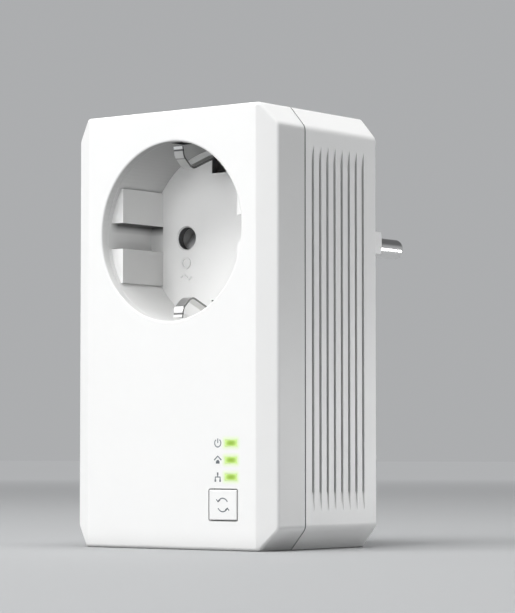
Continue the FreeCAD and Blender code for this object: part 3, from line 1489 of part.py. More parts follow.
def check(pieces):
    """Stops before anything is written if a feature failed or a shape isn't sound."""
    broken = [item.Name for item in doc.Objects if "Invalid" in item.State or "Error" in item.State]
    broken += [item.Label for item in pieces if item.Shape.isNull() or not item.Shape.isValid()]
    if broken:
        raise RuntimeError("failed: " + ", ".join(broken))


parts = make_all()
doc.recompute()
check(parts)
os.makedirs("parts", exist_ok=True)
for piece in parts:
    piece.Shape.exportStep(f"parts/{piece.Label}.step")
    print(f"{piece.Label}: {len(piece.Shape.Solids)} solid(s), {piece.Shape.Volume:.1f} mm3")
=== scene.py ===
# %% [markdown]
# # A powerline adapter with a pass-through socket
#
# This lesson dresses a finished CAD model for its picture. The CAD model is a white adapter that
# goes into a wall socket, has a socket of its own in the front, three small lights, a button and a
# network port in the base. Its pieces already have the right shapes and places, so the lesson adds
# what a CAD program doesn't have: finishes, printed marks, proper screws, light and a camera.
#
# The first step loads the model. Each CAD piece arrives as one object at the origin, in metres,
# with its place in its mesh, so a new piece is put where the CAD piece beside it is.

# %% Load the model and measure it
import math

import bmesh
import bpy
from mathutils import Matrix, Vector


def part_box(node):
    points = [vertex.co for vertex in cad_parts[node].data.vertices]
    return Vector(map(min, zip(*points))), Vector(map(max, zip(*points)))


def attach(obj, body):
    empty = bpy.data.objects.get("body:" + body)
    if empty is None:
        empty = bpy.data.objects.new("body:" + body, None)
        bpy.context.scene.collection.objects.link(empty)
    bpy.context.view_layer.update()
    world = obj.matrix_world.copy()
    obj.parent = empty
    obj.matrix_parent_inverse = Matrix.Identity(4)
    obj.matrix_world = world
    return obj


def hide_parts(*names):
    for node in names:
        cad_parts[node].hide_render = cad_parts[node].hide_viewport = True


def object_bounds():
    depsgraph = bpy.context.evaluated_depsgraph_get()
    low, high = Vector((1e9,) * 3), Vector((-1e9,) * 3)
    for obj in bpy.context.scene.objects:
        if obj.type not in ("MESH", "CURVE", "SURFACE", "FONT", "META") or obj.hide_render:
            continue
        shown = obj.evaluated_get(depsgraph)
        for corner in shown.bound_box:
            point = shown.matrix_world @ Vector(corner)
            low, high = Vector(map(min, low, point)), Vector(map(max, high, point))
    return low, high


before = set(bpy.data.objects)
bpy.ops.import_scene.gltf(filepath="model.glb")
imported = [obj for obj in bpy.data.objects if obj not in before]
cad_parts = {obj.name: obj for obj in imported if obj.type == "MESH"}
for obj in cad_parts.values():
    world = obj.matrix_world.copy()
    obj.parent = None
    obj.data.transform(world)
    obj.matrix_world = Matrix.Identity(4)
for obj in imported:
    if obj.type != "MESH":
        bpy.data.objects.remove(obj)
cad_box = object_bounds()
mm = 0.001
print("CAD box, in metres:", cad_box)


# %% [markdown]
# ## Sums that build shader nodes
#
# A finish is a small programme made of nodes. Wiring it by hand takes a dozen lines for one sum,
# and the sum itself gets lost. It could also be written as text in a node group, but then nothing
# can be tuned here. So one small class wraps a socket and gives it Python's own operators: the
# expression `1 - mask * 0.4` then adds the Math nodes by itself. A second class holds a shader
# tree and has one method that makes any other node. A third adds what a material needs.

# %% A socket that takes part in sums
class Wire:
    """One socket of a shader tree, used like a number."""

    def __init__(self, shading, socket):
        self.shading = shading
        self.socket = socket

    def __add__(self, other):
        return self.shading.maths("ADD", self, other)

    def __sub__(self, other):
        return self.shading.maths("SUBTRACT", self, other)

    def __rsub__(self, other):
        return self.shading.maths("SUBTRACT", other, self)

    def __mul__(self, other):
        return self.shading.maths("MULTIPLY", self, other)

    def __truediv__(self, other):
        return self.shading.maths("DIVIDE", self, other)

    def __pow__(self, other):
        return self.shading.maths("POWER", self, other)

    def __lt__(self, other):
        return self.shading.maths("LESS_THAN", self, other)

    def __gt__(self, other):
        return self.shading.maths("GREATER_THAN", self, other)

    def __abs__(self):
        return self.shading.maths("ABSOLUTE", self)

    __radd__ = __add__
    __rmul__ = __mul__


print("A wire takes part in sums, powers and comparisons")


# %% A shader tree, and a material that grows from it
class Shading:
    """A shader tree under construction, and the shader that it feeds."""

    def __init__(self, tree, shader):
        self.tree = tree
        self.shader = shader

    def node(self, kind, settings=None, inputs=None, out=0):
        """Makes any node: first its settings, then the values or wires of its sockets."""
        made = self.tree.nodes.new(kind)
        for name, value in (settings or {}).items():
            if name == "stops":
                self.set_stops(made.color_ramp, value)
            else:
                setattr(made, name, value)
        for socket, value in (inputs or {}).items():
            if isinstance(value, Wire):
                self.tree.links.new(value.socket, made.inputs[socket])
            else:
                made.inputs[socket].default_value = value
        return Wire(self, made.outputs[out])

    def set_stops(self, ramp, stops):
        """Gives a colour ramp its stops, each a position and a grey level."""
        while len(ramp.elements) < len(stops):
            ramp.elements.new(1.0)
        for element, (position, level) in zip(ramp.elements, stops):
            element.position = position
            element.color = (*grey(level), 1.0)

    def maths(self, operation, first, second=0.0):
        return self.node("ShaderNodeMath", {"operation": operation}, {0: first, 1: second})

    def clamped(self, value):
        return self.node("ShaderNodeClamp", None, {0: value})

    def steps(self, value, *stops):
        """Maps a value through a ramp of (position, level) stops."""
        return self.node("ShaderNodeValToRGB", {"stops": stops}, {0: value})

    def eased(self, value, first, last, low, high):
        """Goes softly from a low to a high level while the value goes from first to last."""
        return self.node("ShaderNodeMapRange", {"interpolation_type": "SMOOTHSTEP"},
                         {"Value": value, "From Min": first, "From Max": last,
                          "To Min": low, "To Max": high}, out="Result")

    def axes(self, vector):
        """The three coordinates of a vector."""
        split = self.node("ShaderNodeSeparateXYZ", None, {0: vector}).socket.node
        return [Wire(self, split.outputs[i]) for i in range(3)]

    def feed(self, socket, wire):
        self.tree.links.new(wire.socket, self.shader.inputs[socket])


class Finish(Shading):
    """A material under construction, worked out from the object's own coordinates."""

    def __init__(self, name, **fixed):
        self.material = bpy.data.materials.new(name)
        self.material.use_nodes = True
        tree = self.material.node_tree
        super().__init__(tree, tree.nodes["Principled BSDF"])
        for socket, value in fixed.items():
            self.shader.inputs[socket.replace("_", " ")].default_value = value
        self.place = self.node("ShaderNodeTexCoord", out="Object")

    def point(self):
        """The three coordinates of the point being shaded, in metres."""
        return self.axes(self.place)

    def normal(self):
        """Which way the surface faces, as three numbers from -1 to 1."""
        return self.axes(self.node("ShaderNodeNewGeometry", out="True Normal"))

    def scaled(self, x, y, z):
        """The place, stretched by a factor along each axis."""
        return self.node("ShaderNodeVectorMath", {"operation": "MULTIPLY"},
                         {0: self.place, 1: (x, y, z)})

    def noise(self, size, detail=2.0, place=None, roughness=0.5):
        """Soft random spots of about the given size in metres, from 0 to 1."""
        return self.node("ShaderNodeTexNoise", None,
                         {"Vector": place or self.place, "Scale": 1.0 / size,
                          "Detail": detail, "Roughness": roughness})

    def mixed(self, share, first, second):
        """A colour between two, each a wire or red, green and blue."""
        ends = [end if isinstance(end, Wire) else (*end, 1.0) for end in (first, second)]
        return self.node("ShaderNodeMix", {"data_type": "RGBA"},
                         {0: share, 6: ends[0], 7: ends[1]}, out=2)

    def edges(self, radius, strength):
        """0 on flats and up to 1 on edges sharper than the radius."""
        soft = self.node("ShaderNodeBevel", {"samples": 4}, {"Radius": radius})
        plain = self.node("ShaderNodeNewGeometry", out="Normal")
        likeness = self.node("ShaderNodeVectorMath", {"operation": "DOT_PRODUCT"},
                             {0: soft, 1: plain}, out="Value")
        return self.clamped((1.0 - likeness) * strength)

    def hollow_shade_mask(self, reach):
        """Painted shade: 0 in the open, up to 1 in grooves and corners narrower than the reach."""
        open_share = self.node("ShaderNodeAmbientOcclusion", {"samples": 6}, {"Distance": reach},
                               out="AO")
        return self.steps(open_share, (0.0, 1.0), (0.5, 0.5), (0.78, 0.1), (0.98, 0.0))

    def repaint(self, share, colour):
        """Lays another colour over the base colour by a share."""
        under = Wire(self, self.shader.inputs["Base Color"].links[0].from_socket)
        self.feed("Base Color", self.mixed(share, under, colour))

    def relief(self, height, depth):
        """Bumps of the given depth in metres, where the height runs from 0 to 1."""
        bump = self.node("ShaderNodeBump", None,
                         {"Height": height, "Distance": depth, "Strength": 1.0})
        self.feed("Normal", bump)


def grey(level):
    """A grey as red, green and blue."""
    return (level, level, level)


finishes = {}
print("Shader sums are ready")

# %% [markdown]
# ## White moulded plastic
#
# The housing, the socket insert, the plug and the button are moulded in the same white ABS. The
# mould is spark eroded, so the surface is a very fine even grain that spreads highlights, with
# slight changes of gloss where the plastic flowed, and edges that hands have polished. A picture
# texture would show its seams on the chamfers. Noise on the object's own coordinates runs over
# every edge without a seam, so all moulded plastics here share one recipe. The outer shells also
# get painted shade in narrow hollows, from an occlusion term, which draws the vents.

# %% Moulded plastic
flow_size = 14 * mm
cloud_size = 2.2 * mm
polished_radius = 0.35 * mm
hollow_reach = 5 * mm


def moulded(name, colour, gloss=0.42, grain=0.12 * mm, depth=0.004 * mm, tint=0.03, worn=0.35,
            hollow_shade=0.0):
    """A moulded plastic: its grain, flow marks, polished edges and painted shade in hollows."""
    finish = Finish(name, Specular_IOR_Level=0.45, IOR=1.49)
    flow = finish.noise(flow_size, 3.0)
    cloud = finish.noise(cloud_size, 4.0, roughness=0.6)
    rim = finish.edges(polished_radius, 2.4)
    deep = [c * (1.0 - tint) for c in colour]
    pale = [min(1.0, c * (1.0 + tint * 0.6) + 0.01) for c in colour]
    skin = finish.mixed(flow * 0.6 + cloud * 0.4, deep, colour)
    skin = finish.mixed(rim * worn, skin, pale)
    # Painted shade: an occlusion term darkens the colour in narrow hollows.
    if hollow_shade:
        shade = [c * 0.25 for c in colour]
        skin = finish.mixed(finish.hollow_shade_mask(hollow_reach) * hollow_shade, skin, shade)
    finish.feed("Base Color", skin)
    finish.feed("Roughness", flow * 0.10 + cloud * 0.08 + (gloss - 0.09) - rim * 0.10)
    finish.relief(finish.noise(grain, 2.0) * 0.7 + cloud * 0.3, depth)
    return finish


white = (0.875, 0.875, 0.868)
insert_white = (0.91, 0.91, 0.903)
finishes["white_plastic"] = moulded("white_moulded_plastic", white, hollow_shade=0.5)
finishes["shutter_plastic"] = moulded("shutter_plastic", (0.80, 0.80, 0.81), gloss=0.38)
finishes["cream_plastic"] = moulded("cream_carrier_plastic", (0.70, 0.64, 0.48), tint=0.08)
finishes["switch_grey"] = moulded("switch_plunger_plastic", (0.11, 0.11, 0.12), gloss=0.35)
finishes["jack_plastic"] = moulded("jack_black_plastic", (0.018, 0.018, 0.02), gloss=0.36, tint=0.2)
print("Moulded plastics:", sorted(finishes))


# %% [markdown]
# ## Places that finishes depend on
#
# Some finishes change from place to place: the green glow belongs round the windows, and shade
# belongs in the recess. A painted mask could say where, but a mask is only as sharp as its
# picture, and its numbers are lost. So the places are read from the boxes of the CAD pieces, with
# a few sizes of the socket beside them, and the finishes below work them out for each point.

# %% Where the windows and the socket are
guide_low, guide_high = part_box("light_guide")
led_low, led_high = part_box("status_leds")
plate_margin = 0.8 * mm
window_half_width = (guide_high.x - guide_low.x) / 2 - plate_margin
window_half_height = 0.7 * mm
window_x = (guide_high.x + guide_low.x) / 2
led_height = 1.2 * mm
light_pitch = (led_high.z - led_low.z - led_height) / 2
window_middle = (led_high.z + led_low.z) / 2
window_heights = [window_middle + step * light_pitch for step in (-1, 0, 1)]
print("Windows at", [round(z / mm, 2) for z in window_heights], "mm, x", round(window_x / mm, 2))

front_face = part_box("front_cover")[0].y
flat_side_x = 28.3 * mm
seam_y = front_face + 12.23 * mm
vents_end_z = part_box("rear_housing")[0].z + 12.8 * mm
socket_radius = 20.0 * mm
socket_floor = front_face + 17.5 * mm
key_flat_x = 16.42 * mm
key_gap = 2.97 * mm
pin_low, pin_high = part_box("plug_pin_right")
pin_x = (pin_low.x + pin_high.x) / 2
print("Pin holes at x", round(pin_x / mm, 2), "mm either side")


# %% [markdown]
# ## The glow round the status lights
#
# Behind each window sits a green light, and its light leaks sideways into the white wall, which
# looks pale green for about a millimetre. A small lamp behind a translucent wall would be true to
# life but slow and noisy. The glow only depends on how far a point is from the nearest window, so
# the cover's own finish works that distance out and adds the green there.

# %% Distance to the nearest window
glow_reach = 1.1 * mm
glow_green = (0.70, 0.91, 0.38)


def window_distance(finish, x, z, height):
    """How far a point of the front face is from one window's edge, in metres."""
    across = finish.maths("MAXIMUM", abs(x - window_x) - window_half_width, 0.0)
    along = finish.maths("MAXIMUM", abs(z - height) - window_half_height, 0.0)
    return finish.maths("SQRT", across ** 2 + along ** 2)


def add_glow(finish):
    """Tints the front face green near the windows."""
    x, y, z = finish.point()
    distance = window_distance(finish, x, z, window_heights[0])
    for height in window_heights[1:]:
        distance = finish.maths("MINIMUM", distance, window_distance(finish, x, z, height))
    glow = finish.clamped(1.0 - distance / glow_reach) ** 1.5 * (y < front_face + 0.1 * mm)
    finish.repaint(glow * 0.8, glow_green)


print("The cover will glow within", round(glow_reach / mm, 1), "mm of each window")


# %% [markdown]
# ## Shade on the shells
#
# White plastic sends light on to the white plastic beside it, and in a recess a few soft lamps
# can't keep every wall as dark as a lived-in room does. More lamps and black screens would shape
# that shade, at the price of many tries. It is simpler to tone the plastic a little where the
# shade lies: by the way a wall faces inside the recess, on the cover's flat sides, and along the
# sunk step where the shells meet. Where the vents run out, and below them, the darkening of
# hollows is taken back, since the grooves get shallow there.

# %% The cover and the rear housing
def shade_recess(finish):
    """Dims the recess's walls: most of all its ceiling, and a little the part that faces up."""
    x, y, z = finish.point()
    from_axis = finish.maths("SQRT", x ** 2 + z ** 2)
    behind_rim = finish.clamped((y - front_face) / (0.4 * mm))
    inside = (from_axis < socket_radius + 0.1 * mm) * behind_rim
    upward = finish.normal()[2] * 0.5 + 0.5
    dim = finish.steps(upward, (0.0, 0.74), (0.2, 0.40), (0.45, 0.0), (0.7, 0.0), (1.0, 0.16))
    finish.repaint(dim * inside, grey(0.10))


def cover_finish():
    """The front shell: painted glow, and painted shade in the recess and on its flat sides."""
    finish = moulded("white_cover_plastic", white, hollow_shade=0.5)
    add_glow(finish)
    shade_recess(finish)
    # Painted shade on the cover's flat sides, short of the rounded edges.
    sideways = finish.steps(abs(finish.normal()[0]), (0.93, 0.0), (0.98, 1.0))
    finish.repaint((abs(finish.point()[0]) > flat_side_x) * sideways * 0.19, grey(0.15))
    return finish


def housing_finish():
    """The rear shell: pale below the vents, and painted shade in the step where the shells meet."""
    finish = moulded("white_housing_plastic", white, hollow_shade=0.5)
    _, y, z = finish.point()
    # Below the vents the painted shade of hollows is taken back under plain white.
    finish.repaint(finish.clamped((vents_end_z - z) / (0.8 * mm)) * 0.85, white)
    # Painted shade in the sunk step where the shells meet.
    finish.repaint((y < seam_y) * 0.55, grey(0.06))
    return finish


finishes["front_cover"] = cover_finish()
finishes["rear_housing"] = housing_finish()
print("The two shells have finishes of their own")


# %% [markdown]
# ## The windows themselves
#
# Each window is the end of a clear acrylic guide. One looks through it at the lit chip, so it is
# darkest green in the middle, where the light is strongest in colour, and paler at its edges. The
# finish mixes the two greens by the distance from the window's middle.

# %% Lit acrylic
def lit_guide():
    """Clear acrylic that is deep green in the middle of each window."""
    finish = Finish("lit_acrylic", Roughness=0.3, IOR=1.49, Emission_Strength=0.12)
    x, _, z = finish.point()
    inset = [abs(z - height) for height in window_heights]
    middle = finish.maths("MINIMUM", finish.maths("MINIMUM", inset[0], inset[1]), inset[2])
    side = abs(x - window_x)
    shade = ((middle / window_half_height) ** 3 + (side / window_half_width) ** 3) ** (1 / 3)
    core = finish.steps(shade, (0.22, 0.0), (0.58, 0.25), (0.95, 1.0))
    grain = finish.noise(0.4 * mm, 3.0)
    green = finish.mixed(core, (0.265, 0.455, 0.03), (0.64, 0.85, 0.30))
    finish.feed("Base Color", finish.mixed(grain * 0.08, green, (0.75, 0.95, 0.55)))
    finish.feed("Emission Color", finish.mixed(core, (0.26, 0.42, 0.05), (0.48, 0.76, 0.20)))
    finish.relief(grain, 0.01 * mm)
    return finish


def lit_chip():
    """The case of a status light that is on."""
    finish = Finish("lit_chip", Roughness=0.3, Emission_Strength=2.0)
    spots = finish.noise(0.5 * mm)
    finish.feed("Base Color", finish.mixed(spots, (0.55, 0.85, 0.30), (0.75, 0.95, 0.45)))
    finish.feed("Emission Color", finish.mixed(spots, (0.35, 0.80, 0.12), (0.50, 0.95, 0.20)))
    finish.relief(spots, 0.01 * mm)
    return finish


finishes["guide_plastic"] = lit_guide()
finishes["led_case"] = lit_chip()
print("Lit pieces have their greens")


# %% [markdown]
# ## The socket insert
#
# The insert is white like the rest, a touch paler, since it is a piece of its own. Hardly any
# light reaches the gap under the upper guide key, the slots that the earth clips start from, and
# the walls of the pin holes and clip windows. Left white, those walls would shine out of their
# holes. A few sums on the coordinates find them and make them dark.

# %% The insert's finish
slot_half_width = 1.8 * mm
slot_end_y = front_face + 7.0 * mm
hole_radius = 2.56 * mm
clip_window_half_width = 2.2 * mm
clip_window_z = 14.3 * mm
hole_walls_y = socket_floor + 0.30 * mm


def shade_keys(finish):
    """Painted shade in the gap by the guide keys, most under the upper one, and on their faces."""
    x, y, z = finish.point()
    across = abs(x)
    between_keys = (across > key_flat_x) * (abs(z) < key_gap)
    depth = (y - front_face) / (10 * mm)
    below_key = finish.steps(z / key_gap, (0.25, 0.0), (0.6, 0.4), (0.9, 1.0))
    below_key = below_key * finish.steps(depth, (0.28, 0.0), (0.55, 1.0)) * 0.88
    deeper = finish.steps(depth, (0.35, 0.0), (1.0, 0.06))
    finish.repaint(between_keys * finish.maths("MAXIMUM", below_key, deeper), grey(0.02))
    # Painted shade on the keys' inner faces, more on the lower key than on the upper.
    key_face = (abs(across - key_flat_x) < 0.1 * mm) * (abs(finish.normal()[0]) > 0.9)
    lower_key = finish.steps(z / key_gap + 0.5, (0.0, 0.24), (1.0, 0.08))
    finish.repaint(key_face * lower_key, grey(0.10))


def shade_openings(finish):
    """Darkens the clips' slots in the rim, their windows, and the pin holes."""
    x, y, z = finish.point()
    across, along = abs(x), abs(z)
    beyond_wall = along > socket_radius + 0.02 * mm
    in_slot = (across < slot_half_width) * beyond_wall * (y < slot_end_y)
    finish.repaint(in_slot * 0.95, grey(0.02))
    from_pin = finish.maths("SQRT", (across - pin_x) ** 2 + z ** 2)
    in_window = (across < clip_window_half_width) * (along > clip_window_z)
    in_opening = finish.maths("MAXIMUM", from_pin < hole_radius, in_window)
    finish.repaint(in_opening * (y > hole_walls_y) * 0.92, (0.05, 0.05, 0.052))


finishes["socket_insert"] = moulded("white_socket_plastic", insert_white)
for shade in (shade_recess, shade_keys, shade_openings):
    shade(finishes["socket_insert"])
print("The insert is shaded in three places")


# %% [markdown]
# ## Metals
#
# The plug's pins are brass with bright nickel on it, the inner contacts are bare stamped brass,
# and the screws are zinc plated steel. A metal's look is nearly all in its reflections: rolled
# sheet has faint lines along its length, plating is never equally glossy everywhere, and rubbing
# polishes the edges. Stretched noise gives the lines, and the same edge finder as for plastic
# gives the polish.

# %% Metal
def metal(name, colour, gloss=0.25, lines=(1, 1, 1), line_size=0.25 * mm, depth=0.002 * mm,
          stain=(0.5, 0.45, 0.38), stained=0.15, edge=1.15):
    """A metal: rolling lines along one axis, a little tarnish, and edges of their own tone."""
    finish = Finish(name, Metallic=1.0)
    drawn = finish.noise(line_size, 3.0, finish.scaled(*lines), roughness=0.65)
    patches = finish.noise(5 * mm, 3.0)
    dull = finish.steps(patches, (0.42, 0.0), (0.72, 1.0))
    rim = finish.edges(0.15 * mm, 2.0)
    skin = finish.mixed(dull * stained, colour, stain)
    skin = finish.mixed(rim * 0.6, skin, [min(1.0, c * edge) for c in colour])
    finish.feed("Base Color", skin)
    finish.feed("Roughness", drawn * 0.10 + dull * 0.06 + (gloss - 0.06) - rim * 0.04)
    finish.relief(drawn, depth)
    return finish


finishes["nickel_plate"] = metal("bright_nickel", (0.79, 0.79, 0.785), 0.14, (5, 0.5, 0.5),
                                 depth=0.0006 * mm, stained=0.08, edge=0.35)
finishes["contact_brass"] = metal("stamped_brass", (0.78, 0.55, 0.22), 0.30, (4, 1, 0.3),
                                  stain=(0.42, 0.24, 0.10), stained=0.5)
finishes["copper"] = metal("enamelled_copper", (0.72, 0.30, 0.12), 0.28, (1, 1, 1),
                           stain=(0.40, 0.14, 0.05), stained=0.4)
finishes["gold_wire"] = metal("gold_flash", (0.90, 0.65, 0.25), 0.20, (5, 5, 0.3), stained=0.1)
finishes["zinc_steel"] = metal("zinc_plated_steel", (0.66, 0.67, 0.69), 0.34, (1, 1, 1),
                               0.5 * mm, 0.006 * mm, (0.55, 0.50, 0.30), 0.25)
finishes["spring_steel"] = metal("drawn_spring_wire", (0.55, 0.56, 0.58), 0.3)
finishes["can_steel"] = metal("tinned_sheet", (0.64, 0.65, 0.67), 0.27, (5, 5, 0.3), stained=0.2)
finishes["sink_aluminium"] = metal("extruded_aluminium", (0.62, 0.63, 0.65), 0.4, (5, 1, 0.2),
                                   stain=(0.45, 0.45, 0.46), stained=0.3)
print(len(finishes), "finishes so far")


# %% [markdown]
# ## The earth clips
#
# An earth clip is a narrow strip that starts at the recess's rim, folds towards the middle, folds
# back and ends in its window. What makes so small a thing readable is painted shade: its folds and
# its sheared sides are painted darker than its faces. One could cut the mesh into regions, but the
# CAD mesh stays as it is. The folds lie at known depths and heights, and the sheared sides face
# sideways, so the finish can tell them apart. The upper clip hangs in the shade, painted on it,
# and only its tip is bright, with a painted highlight.

# %% Satin nickel with painted shade in its creases
clip_fold_y = front_face + 3.6 * mm
clip_tip_z = 18.2 * mm
clip_crease_z = 18.3 * mm


def clip_finish():
    """Satin nickel with painted shade on sheared sides and sharp folds, and on the upper clip."""
    finish = metal("satin_nickel_clip", (0.80, 0.80, 0.795), 0.34, (5, 0.5, 0.5),
                   depth=0.0004 * mm, stained=0.08, edge=0.5)
    _, y, z = finish.point()
    before_fold = y < clip_fold_y
    upper = z > 0.0
    below_tip = z < clip_tip_z
    # Painted shade on the upper clip, short of its tip.
    finish.repaint(upper * below_tip * 0.23, grey(0.10))
    # Painted highlight on the upper clip's tip.
    finish.repaint(upper * (1.0 - below_tip) * before_fold, grey(0.97))
    # Painted shade along the crease near the tip and along the fold.
    crease_shade = finish.steps(abs(abs(z) - clip_crease_z) / mm, (0.12, 1.0), (0.26, 0.0)) * before_fold
    fold_shade = finish.steps(abs(y - clip_fold_y) / mm, (0.05, 1.0), (0.16, 0.0))
    finish.repaint(crease_shade * 0.9 + fold_shade * 0.5, grey(0.06))
    # Painted shade on the sheared sides.
    sheared_shade = finish.steps(abs(finish.normal()[0]), (0.6, 0.0), (0.8, 1.0))
    finish.repaint(sheared_shade * 0.8, grey(0.10))
    return finish


finishes["earth_clip_top"] = finishes["earth_clip_bottom"] = clip_finish()
print("Both clips share the finish", finishes["earth_clip_top"].material.name)


# %% [markdown]
# ## Boards and components
#
# Nobody sees the inside of a closed adapter, but the model can be taken apart, so each component
# gets the finish it has on a real board. The boards matter most: solder mask is a thin clear
# lacquer over copper tracks, and the tracks show through as paler lines in a loose grid. Real
# tracks would cost many thousands of faces. A mosaic of squares, with its distances cut to narrow
# bands, draws such tracks without a single vertex.

# %% Boards
def circuit_board(name, mask, track, gloss):
    """Solder mask with copper tracks showing through it."""
    finish = Finish(name, IOR=1.5)
    cells = finish.node("ShaderNodeTexVoronoi", {"distance": "CHEBYCHEV", "feature": "F1"},
                        {"Vector": finish.place, "Scale": 1.0 / (3.2 * mm)})
    waves = finish.maths("FRACT", cells * 3.0)
    lines = finish.steps(waves, (0.0, 0.0), (0.42, 0.0), (0.46, 1.0), (0.60, 1.0), (0.64, 0.0))
    weave = finish.noise(0.35 * mm, 2.0, finish.scaled(1, 1, 3))
    skin = finish.mixed(weave * 0.3, mask, [c * 0.6 for c in mask])
    finish.feed("Base Color", finish.mixed(lines * 0.8, skin, track))
    finish.feed("Roughness", weave * 0.12 + (gloss - 0.06) + lines * 0.04)
    finish.relief(lines * 0.8 + weave * 0.2, 0.03 * mm)
    return finish


finishes["green_board"] = circuit_board("green_solder_mask", (0.012, 0.09, 0.03),
                                        (0.03, 0.20, 0.06), 0.3)
finishes["tan_board"] = circuit_board("paper_epoxy", (0.42, 0.27, 0.10), (0.52, 0.34, 0.14), 0.5)
print("Two kinds of board, and", len(finishes) - 2, "other finishes")


# %% Components
finishes["ferrite"] = moulded("sintered_ferrite", (0.025, 0.025, 0.028), 0.5, 0.2 * mm,
                              0.02 * mm, 0.3)
finishes["black_package"] = moulded("epoxy_package", (0.02, 0.02, 0.022), 0.55, 0.1 * mm,
                                    0.006 * mm, 0.2)
finishes["blue_coating"] = moulded("dipped_blue_epoxy", (0.02, 0.09, 0.32), 0.18, 0.8 * mm,
                                   0.02 * mm, 0.15)
finishes["yellow_case"] = moulded("yellow_case", (0.80, 0.52, 0.05), 0.32, tint=0.08)
finishes["yellow_tape"] = moulded("polyester_tape", (0.78, 0.50, 0.08), 0.22, 1.5 * mm,
                                  0.03 * mm, 0.12)
finishes["can_sleeve"] = moulded("shrunk_sleeve", (0.015, 0.02, 0.05), 0.25, 0.6 * mm,
                                 0.01 * mm, 0.2)
finishes["grey_label"] = moulded("blank_film_label", grey(0.62), 0.34, 0.5 * mm,
                                 0.003 * mm, 0.04)
print(len(finishes), "finishes with those of the components")


# %% Clear pieces
def clear(name, colour, gloss, alpha):
    """Glass or film: clear, faintly clouded and more solid at its edges."""
    finish = Finish(name, IOR=1.5)
    haze = finish.noise(1.5 * mm, 3.0)
    rim = finish.edges(0.2 * mm, 2.0)
    finish.feed("Base Color", finish.mixed(haze * 0.4, colour, [c * 0.85 for c in colour]))
    finish.feed("Roughness", haze * 0.1 + gloss)
    finish.feed("Alpha", haze * 0.1 + alpha + rim * 0.3)
    finish.relief(haze, 0.01 * mm)
    return finish


finishes["fuse_glass"] = clear("fuse_glass", (0.80, 0.84, 0.84), 0.06, 0.45)
finishes["clear_film"] = clear("insulating_film", (0.78, 0.80, 0.80), 0.25, 0.35)
print(len(finishes), "finishes in all")


# %% [markdown]
# ## Give every CAD piece its finish
#
# The CAD export already names a material slot for each piece, and a piece takes the finish of
# that name. The two shells, the insert and the clips come first under their own names, because
# their finishes know where the windows, the recess and the folds are.

# %% Assign
for name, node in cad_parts.items():
    wanted = name if name in finishes else node.data.materials[0].name.split(".")[0]
    node.data.materials.clear()
    node.data.materials.append(finishes[wanted].material)
    print(f"{name:24} {finishes[wanted].material.name}")


# %% [markdown]
# ## Printed marks
#
# Grey ink is pad printed beside the windows: a power sign, a house and a small network. Such a
# mark is only a few hundredths of a millimetre high, but its edge has to stay sharp, so it is made
# as real geometry. Each mark is a drawing of a few lines. Geometry Nodes turn the lines into flat
# ribbons of ink, and the same tree serves every mark and width.

# %% A tree that inks lines
def socket_of(tree, name, kind, way="INPUT"):
    return tree.interface.new_socket(name, in_out=way, socket_type=kind)


def start_tree(name, **inputs):
    """A new node tree with geometry in and out and its named inputs."""
    tree = bpy.data.node_groups.new(name, "GeometryNodeTree")
    socket_of(tree, "Geometry", "NodeSocketGeometry")
    for label, kind in inputs.items():
        socket_of(tree, label, kind)
    socket_of(tree, "Geometry", "NodeSocketGeometry", "OUTPUT")
    return tree, tree.nodes.new("NodeGroupInput"), tree.nodes.new("NodeGroupOutput")


def put(tree, kind, settings=None, **wires):
    """Adds a node with its settings, and the values or wires of its sockets by name."""
    made = tree.nodes.new(kind)
    for name, value in (settings or {}).items():
        setattr(made, name, value)
    for label, value in wires.items():
        socket = made.inputs[label.replace("_", " ")]
        if isinstance(value, bpy.types.NodeSocket):
            tree.links.new(value, socket)
        else:
            socket.default_value = value
    return made


def finish_tree(tree, shape, material, leave):
    """Every tree ends in real geometry that carries its material."""
    real = put(tree, "GeometryNodeRealizeInstances", Geometry=shape)
    inked = put(tree, "GeometryNodeSetMaterial", Geometry=real.outputs[0], Material=material)
    tree.links.new(inked.outputs[0], leave.inputs[0])


def ink_tree():
    """Turns lines into flat ribbons of the given width and thickness."""
    tree, enter, leave = start_tree("ink_lines", Width="NodeSocketFloat",
                                    Thickness="NodeSocketFloat", Material="NodeSocketMaterial")
    path = put(tree, "GeometryNodeMeshToCurve", Mesh=enter.outputs["Geometry"])
    flat = put(tree, "GeometryNodeSetCurveNormal", {"mode": "Z_UP"}, Curve=path.outputs[0])
    profile = put(tree, "GeometryNodeCurvePrimitiveQuadrilateral",
                  Width=enter.outputs["Width"], Height=enter.outputs["Thickness"])
    ribbon = put(tree, "GeometryNodeCurveToMesh", Curve=flat.outputs[0],
                 Profile_Curve=profile.outputs[0], Fill_Caps=True)
    shaded = put(tree, "GeometryNodeSetShadeSmooth", Geometry=ribbon.outputs[0], Shade_Smooth=False)
    finish_tree(tree, shaded.outputs[0], enter.outputs["Material"], leave)
    return tree


ink_lines = ink_tree()
print("The ink tree has", len(ink_lines.nodes), "nodes")


# %% [markdown]
# ## The three icons and the button's mark
#
# The drawings are laid out flat, x to the right and y up, in millimetres from the middle of the
# mark. A picture of each mark on a small plane would be quicker to place, but it would blur up
# close and show its rim. After the tree has inked the lines they are stood up against the front
# face. The ink keeps a hundredth of a millimetre of height, which is what a pad print has.

# %% Bake a tree and stand it on a face
def set_inputs(modifier, tree, values):
    """Sets a modifier's inputs by the identifiers of the tree's sockets."""
    for item in tree.interface.items_tree:
        if item.in_out == "INPUT" and item.name in values:
            modifier[item.identifier] = values[item.name]


